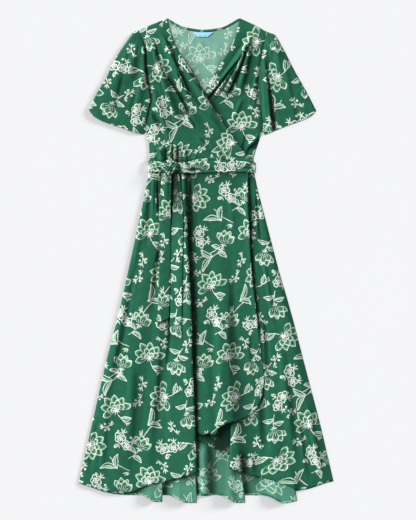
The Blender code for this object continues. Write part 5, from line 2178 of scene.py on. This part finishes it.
    def back(self) -> Cloth:
        """The stretch behind the back, flat on the surface.

        Returns:
            The sheet.
        """
        inset = self.turn_under + 1.0
        x = np.linspace(self.CENTRE[0].x + inset, self.CENTRE[-1].x - inset, 60)
        xy = places(x, np.linspace(SASH_HIGH_Y - 1, SASH_LOW_Y + 1, 12)[:, None])
        return Cloth("sash_back_cloth", sheet_points(xy, FLOOR_LEVEL), xy, wall=self.wall)

    def end(
        self,
        name: str,
        route: Sequence[Station],
        below: Sequence[Cloth],
        tip: float,
        twist: float,
        stand: float,
        gather: float,
    ) -> Cloth:
        """A hanging end: a folded strip with a slanting tip, laid over what it hangs on.

        Args:
            name: the piece's name.
            route: the middle of the strip from the knot down.
            below: what it lies on.
            tip: how much the tip slants.
            twist: how far the strip turns over below the knot.
            stand: how high it comes out of the knot.
            gather: how much of its width shows below the knot.

        Returns:
            The sheet.
        """
        t, s = np.linspace(0, 1, 130), np.linspace(-1, 1, 21)[None, :]
        centre = edge(route, t)
        t = t[:, None]
        narrow = gather + (1 - gather) * ease(t / self.END_OPENS)
        x = centre[:, :1] + s * self.END_HALF_WIDTH * narrow
        y = centre[:, 1:] + tip * s * ease((t - self.TIP_START) / (1 - self.TIP_START))
        points = settle(sheet_points(places(x, y), FLOOR_LEVEL), below, spread=4, wall=self.end_wall)
        points[..., 2] += self.END_CROWN * (1 - s**2) * (1 - self.END_THINS * t)
        points[..., 2] += stand * np.exp(-((t / self.END_COMES_DOWN) ** 2))
        folds = self.END_FOLD * np.exp(-(((t - self.END_FOLD_AT) / self.END_FOLD_REACH) ** 2))
        folds = folds * np.cos(s * self.END_FOLD_WAVE + twist)
        drift = self.END_DRIFT * np.sin(t * self.END_DRIFT_WAVE + twist) * s
        points[..., 2] += np.maximum(folds, self.END_FOLD_LOW) + np.abs(drift)
        cut = places(s * self.END_HALF_WIDTH, -distances(centre)[:, None])
        return Cloth(name, points, cut + np.array((60 + 90 * twist, 200 + 110 * twist)), wall=self.end_wall)

    def tuck_shade(self, end: Cloth) -> np.ndarray:
        """The painted shade of the long end where it comes out under the knot, beside the short end.

        Args:
            end: the long end.

        Returns:
            The painted shade, from 0 to 1, for each point.
        """
        t = np.linspace(0, 1, end.points.shape[0])[:, None]
        s = np.linspace(-1, 1, end.points.shape[1])[None, :]
        (start, fade), (beside, soft) = self.TUCK_DOWN, self.TUCK_ACROSS
        return self.TUCK_SHADE * (1 - ease((t - start) / fade)) * ease((beside - s) / soft)

    def knot(self, finish: bpy.types.Material) -> bpy.types.Object:
        """The knot's core: a soft clump with the swellings and grooves of wound cloth.

        Args:
            finish: its material.

        Returns:
            The object.
        """
        work = bmesh.new()
        bmesh.ops.create_uvsphere(work, u_segments=96, v_segments=48, radius=1, calc_uvs=True)
        centre, half = Vector(self.KNOT), Vector(self.KNOT_HALF)
        painted_shade = work.verts.layers.float.new("painted_shade")
        for v in work.verts:
            turn = math.atan2(v.co.y, v.co.x)
            swell = 1 + 0.10 * math.cos(3 * turn + 0.6) + 0.05 * math.cos(5 * turn)
            groove = math.sin(9 * (v.co.x * 0.5 + v.co.y * 0.9) + 2.2 * v.co.z)
            up = v.co.z
            # Painted shade: darker in the grooves and towards the knot's underside.
            v[painted_shade] = min(1.0, max(0.0, 0.25 - 0.6 * groove + 0.7 * (0.55 - up)))
            v.co.x *= half.x * swell
            v.co.y *= half.y * swell
            v.co.z *= half.z * (1 if up > 0 else self.KNOT_FLATTEN)
            v.co.z += 0.9 * groove * max(0.0, up)
            v.co += centre
            v.co *= MM
        cut = work.loops.layers.uv.verify()
        grow, slide_x, slide_y = self.KNOT_CUT
        for face in work.faces:
            for corner in face.loops:
                corner[cut].uv = (corner.vert.co.x * grow + slide_x, corner.vert.co.y * grow + slide_y)
        mesh = bpy.data.meshes.new("sash_knot_cloth")
        work.to_mesh(mesh)
        work.free()
        mesh.uv_layers[0].name = "cut"
        mesh.shade_smooth()
        mesh.materials.append(finish)
        return link(bpy.data.objects.new("sash_knot_cloth", mesh))

    def ply_shade(self, wrap: Cloth) -> np.ndarray:
        """The painted shade of the band over the knot, between its plies and darker down its ends.

        Args:
            wrap: the band.

        Returns:
            The painted shade for each point.
        """
        across = wrap.points[..., 2] - np.max(wrap.points[..., 2], axis=1, keepdims=True)
        down = wrap.points[..., 2] - wrap.points[..., 2].max()
        return np.clip(-across / (3.2 * self.PLY) - 0.25, 0, 0.8) + np.clip(-down / 12.0 - 0.1, 0, 0.5)

    def wrap(
        self, name: str, way: float, half_width: float, reach: float, rise: float, slide: tuple[float, float]
    ) -> Cloth:
        """A band of the sash that passes over the knot.

        Args:
            name: the piece's name.
            way: the way it runs, in degrees from +X.
            half_width: half its width.
            reach: how far it goes each way from the knot's middle.
            rise: how high it stands over the knot's middle.
            slide: where its cut lies under the print.

        Returns:
            The sheet.
        """
        t, s = np.linspace(-1, 1, 60)[:, None], np.linspace(-1, 1, 25)[None, :]
        run = np.array((math.cos(math.radians(way)), math.sin(math.radians(way))))
        side = np.array((-run[1], run[0]))
        x, y, z = self.KNOT
        along = reach * np.sin(t * math.pi / 2)
        aside = s * (half_width * (self.BAND_NARROW + (1 - self.BAND_NARROW) * np.abs(t)))
        crown = np.sqrt(np.clip(1 - self.BAND_END * t**2, 0, 1)) * (1 - self.BAND_EDGE * s**4)
        plies = self.PLY * np.cos(s * 7.5 + t * 0.8) * (1 - 0.5 * np.abs(s))
        xy = places(x + run[0] * along + side[0] * aside, y + run[1] * along + side[1] * aside)
        points = sheet_points(xy, z - 1.0 + rise * crown + plies)
        return Cloth(name, points, turned(places(along * self.BAND_CUT, aside), slide, way), wall=self.wall)


# ------------------------------------------------------------------------------------------------------------
# The neck


@dataclass
class NeckTrim:
    """The self binding on the back neck and the bare label under it."""

    binding_width: float = 6.0
    label_wall: float = 0.7
    label_top_y: float = 614.2
    label_low_y: float = 602.0

    LABEL_TOP = (-38.0, 19.5)
    LABEL_LOW = (-23.5, 4.5)
    LABEL_LEVEL, LABEL_PUFF, LABEL_WAVE, LABEL_SAG = 2.0, 0.7, 0.15, 0.5
    # The binding round the edge: how far down the neck, as a share of its width, and its height there.
    BINDING_ROLL = (
        (-0.10, -0.9), (-0.12, -0.3), (-0.06, 0.5), (0.15, 0.82), (0.5, 0.95), (0.85, 0.85), (1.0, 0.55),
    )
    BINDING_LOW, BINDING_END = 0.35, 0.004  # its least height, and what it leaves of the neck at each end

    def binding(self) -> Cloth:
        """The strip turned over the back neck.

        Returns:
            The sheet.
        """
        top = Bodice.BACK_TOP[Bodice.NECK]
        first, last = top[0].along + self.BINDING_END, top[-1].along - self.BINDING_END
        neck = edge(top, np.linspace(first, last, 120))
        share, height = (np.array(column)[:, None] for column in zip(*self.BINDING_ROLL))
        xy = places(neck[:, 0], neck[:, 1] - share * self.binding_width)
        points = sheet_points(xy, np.maximum(self.BINDING_LOW, FLOOR_LEVEL + height))
        cut = places(distances(neck), np.linspace(0, -self.binding_width, len(share))[:, None])
        return Cloth("back_neck_binding_cloth", points, cut + np.array((140, 120)), wall=EDGE_WALL)

    def label(self) -> Cloth:
        """The label, bare, its ends folded in and its middle a little raised.

        Returns:
            The sheet.
        """
        v, s = np.linspace(0, 1, 26)[:, None], np.linspace(-1, 1, 60)[None, :]
        left = self.LABEL_TOP[0] + (self.LABEL_LOW[0] - self.LABEL_TOP[0]) * v
        right = self.LABEL_TOP[1] + (self.LABEL_LOW[1] - self.LABEL_TOP[1]) * v
        x = (left + right) / 2 + (right - left) / 2 * s
        y = self.label_top_y + (self.label_low_y - self.label_top_y) * v
        y = y - self.LABEL_SAG * np.cos(s * math.pi / 2) * v
        z = self.LABEL_LEVEL + self.LABEL_PUFF * np.sin(v * math.pi) * (1 - s**4)
        z = z + self.LABEL_WAVE * np.sin(s * 9) * v
        points = sheet_points(places(x, y), z)
        return Cloth("neck_label_cloth", points, points[..., :2].copy(), wall=self.label_wall)


# ------------------------------------------------------------------------------------------------------------
# The studio


@dataclass
class Studio:
    """The pale surface, the soft light and the camera straight above."""

    lens: float = 100.0
    sensor: float = 36.0
    view_height: float = 1404.0  # what the long side of the view shows, in millimetres
    aim: tuple[float, float] = (4.9, 0.0)
    floor_half: float = 12.0
    sky: float = 0.36
    key: float = 5.3  # on the cloth
    key_height: float = 24.0  # degrees above the surface
    key_way: float = 148.0  # degrees from +X towards +Y
    key_softness: float = 24.0
    wash: float = 1.29  # on the surface, from above
    low: float = 3.35  # on the surface, from the other side
    low_height: float = 14.0
    low_way: float = 22.0
    low_softness: float = 12.0
    wash_softness: float = 60.0
    surround: Colour = (0.98, 0.99, 1.0, 1)
    lamp_distance: float = 3.0
    far_clip: float = 50.0

    def floor(self, finish: bpy.types.Material) -> bpy.types.Object:
        """The surface, just under the dress.

        Args:
            finish: its material.

        Returns:
            The object.
        """
        work = bmesh.new()
        bmesh.ops.create_grid(work, x_segments=8, y_segments=8, size=self.floor_half)
        mesh = bpy.data.meshes.new("floor")
        work.to_mesh(mesh)
        work.free()
        mesh.materials.append(finish)
        floor = link(bpy.data.objects.new("floor", mesh))
        return floor

    def lamp(self, name: str, energy: float, height: float, way: float, softness: float) -> bpy.types.Object:
        """A distant soft light.

        Args:
            name: its name.
            energy: its strength.
            height: degrees above the surface.
            way: degrees from +X towards +Y.
            softness: how wide it looks, in degrees.

        Returns:
            The lamp.
        """
        data = bpy.data.lights.new(name, "SUN")
        data.energy = energy
        data.angle = math.radians(softness)
        lamp = link(bpy.data.objects.new(name, data))
        up, round_z = math.radians(height), math.radians(way)
        towards = Vector((math.cos(up) * math.cos(round_z), math.cos(up) * math.sin(round_z), math.sin(up)))
        lamp.location = towards * self.lamp_distance
        lamp.rotation_euler = towards.to_track_quat("Z", "Y").to_euler()
        return lamp

    def light(self, floor: bpy.types.Object) -> None:
        """An even surround, a soft key on the cloth and, on the surface, a wash and a low soft light.

        Args:
            floor: the surface.
        """
        world = bpy.data.worlds.new("studio")
        world.use_nodes = True
        surround = world.node_tree.nodes["Background"]
        surround.inputs["Color"].default_value = self.surround
        surround.inputs["Strength"].default_value = self.sky
        bpy.context.scene.world = world
        key = self.lamp("key", self.key, self.key_height, self.key_way, self.key_softness)
        wash = self.lamp("wash", self.wash, 90.0, 0.0, self.wash_softness)
        low = self.lamp("low", self.low, self.low_height, self.low_way, self.low_softness)
        surface, cloth = bpy.data.collections.new("surface"), bpy.data.collections.new("all_but_surface")
        for lit in (surface, cloth):
            lit.objects.link(floor)
        cloth.collection_objects[0].light_linking.link_state = "EXCLUDE"
        key.light_linking.receiver_collection = cloth
        for lamp in (wash, low):
            lamp.light_linking.receiver_collection = surface
        bpy.context.scene.view_settings.view_transform = "Standard"

    def camera(self) -> None:
        """A long lens straight above the dress, its neck at the top of the view."""
        data = bpy.data.cameras.new("camera")
        data.lens = self.lens
        data.sensor_width = self.sensor
        data.clip_end = self.far_clip
        camera = link(bpy.data.objects.new("camera", data))
        height = self.lens / self.sensor * self.view_height * MM
        camera.location = (self.aim[0] * MM, self.aim[1] * MM, height)
        bpy.context.scene.camera = camera


def main() -> None:
    """Loads the frame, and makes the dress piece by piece."""
    logging.basicConfig(level=logging.INFO, format="%(name)s: %(message)s")
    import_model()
    finishes = Wardrobe.make()
    studio = Studio()
    studio.light(studio.floor(finishes.paper))
    studio.camera()

    bodice, skirt, sash, neck = Bodice(), Skirt(), Sash(), NeckTrim()
    face, reverse = finishes.face, finishes.reverse

    back_bodice, back_skirt = bodice.back(), skirt.back()
    under, over = bodice.fronts()
    sleeves = [sleeve.cloth(bodice.side(sleeve.side, sleeve.way)) for sleeve in (RIGHT_SLEEVE, LEFT_SLEEVE)]
    inner, outer = skirt.fronts(back_skirt)
    sash_front, sash_back = sash.front([over, under, inner, outer]), sash.back()
    long_end = sash.end("sash_end_long_cloth", sash.END_LONG, [outer, sash_front], -7, 0.9, 0.6, 0.6)
    short_end = sash.end(
        "sash_end_short_cloth", sash.END_SHORT, [outer, sash_front, long_end], 8, -0.4, 6.5, 0.85
    )
    wrap = sash.wrap("sash_knot_wrap", 58, 12.0, 21.0, 8.0, (60, 40))
    hem, binding, label = skirt.hem_turn(back_skirt), neck.binding(), neck.label()
    sheets = [back_bodice, back_skirt, under, over, *sleeves, inner, outer]
    sheets += [sash_front, long_end, short_end, wrap]
    # Painted shade: from the heights of all sheets, then at the mouth of the inner fold, the opening between
    # the fronts, the band over the knot and the top of the long end.
    relief = Relief(sheets)
    for sheet in sheets:
        relief.mark(sheet)
    inner.painted_shade = np.maximum(inner.painted_shade, skirt.mouth_shade(inner))
    back_skirt.painted_shade = np.maximum(back_skirt.painted_shade, skirt.opening_shade(back_skirt))
    wrap.painted_shade = np.maximum(wrap.painted_shade, sash.ply_shade(wrap))
    long_end.painted_shade = np.maximum(long_end.painted_shade, sash.tuck_shade(long_end))

    binding_piece = seat(binding.make(finishes.trim), Slot.PRINTED, "back_neck_binding")
    label_piece = seat(label.make(finishes.label), Slot.LABEL, "neck_label")
    hem_piece = seat(hem.make(finishes.trim), Slot.PRINTED)
    knot = seat(sash.knot(face), Slot.PRINTED, "sash_knot")
    wrap_piece = seat(wrap.make(face), Slot.PRINTED)
    bodice_back, skirt_back = (reverse, face, Slot.REVERSE), (finishes.skirt_reverse_painted_shade, face, Slot.REVERSE)
    front = (face, reverse, Slot.PRINTED)
    for cloth, node, (top, bottom, slot), rests_on, others in (
        (back_bodice, "back_bodice", bodice_back, ["floor"], [binding_piece, label_piece]),
        (back_skirt, "back_skirt", skirt_back, ["floor"], [hem_piece]),
        (under, "front_bodice_left", front, ["back_bodice_cloth"], []),
        (over, "front_bodice_right", front, ["front_bodice_left_cloth", "back_bodice_cloth"], []),
        (sleeves[0], "sleeve_right", front, ["floor"], []),
        (sleeves[1], "sleeve_left", front, ["floor"], []),
        (inner, "skirt_front_inner", front, ["back_skirt_cloth"], []),
        (outer, "skirt_front_outer", front, ["skirt_front_inner_cloth", "back_skirt_cloth"], []),
        (sash_back, "sash_back", front, ["floor"], []),
        (
            sash_front,
            "sash_front",
            front,
            ["skirt_front_outer_cloth", "front_bodice_right_cloth"],
            [knot, wrap_piece],
        ),
        (long_end, "sash_end_long", front, ["skirt_front_outer_cloth"], []),
        (short_end, "sash_end_short", front, ["skirt_front_outer_cloth"], []),
    ):
        cloth.declare(seat(cloth.make(top, bottom), slot, node), rests_on, others)

    log.info("size of the dressed part written")


if __name__ == "__main__":
    main()
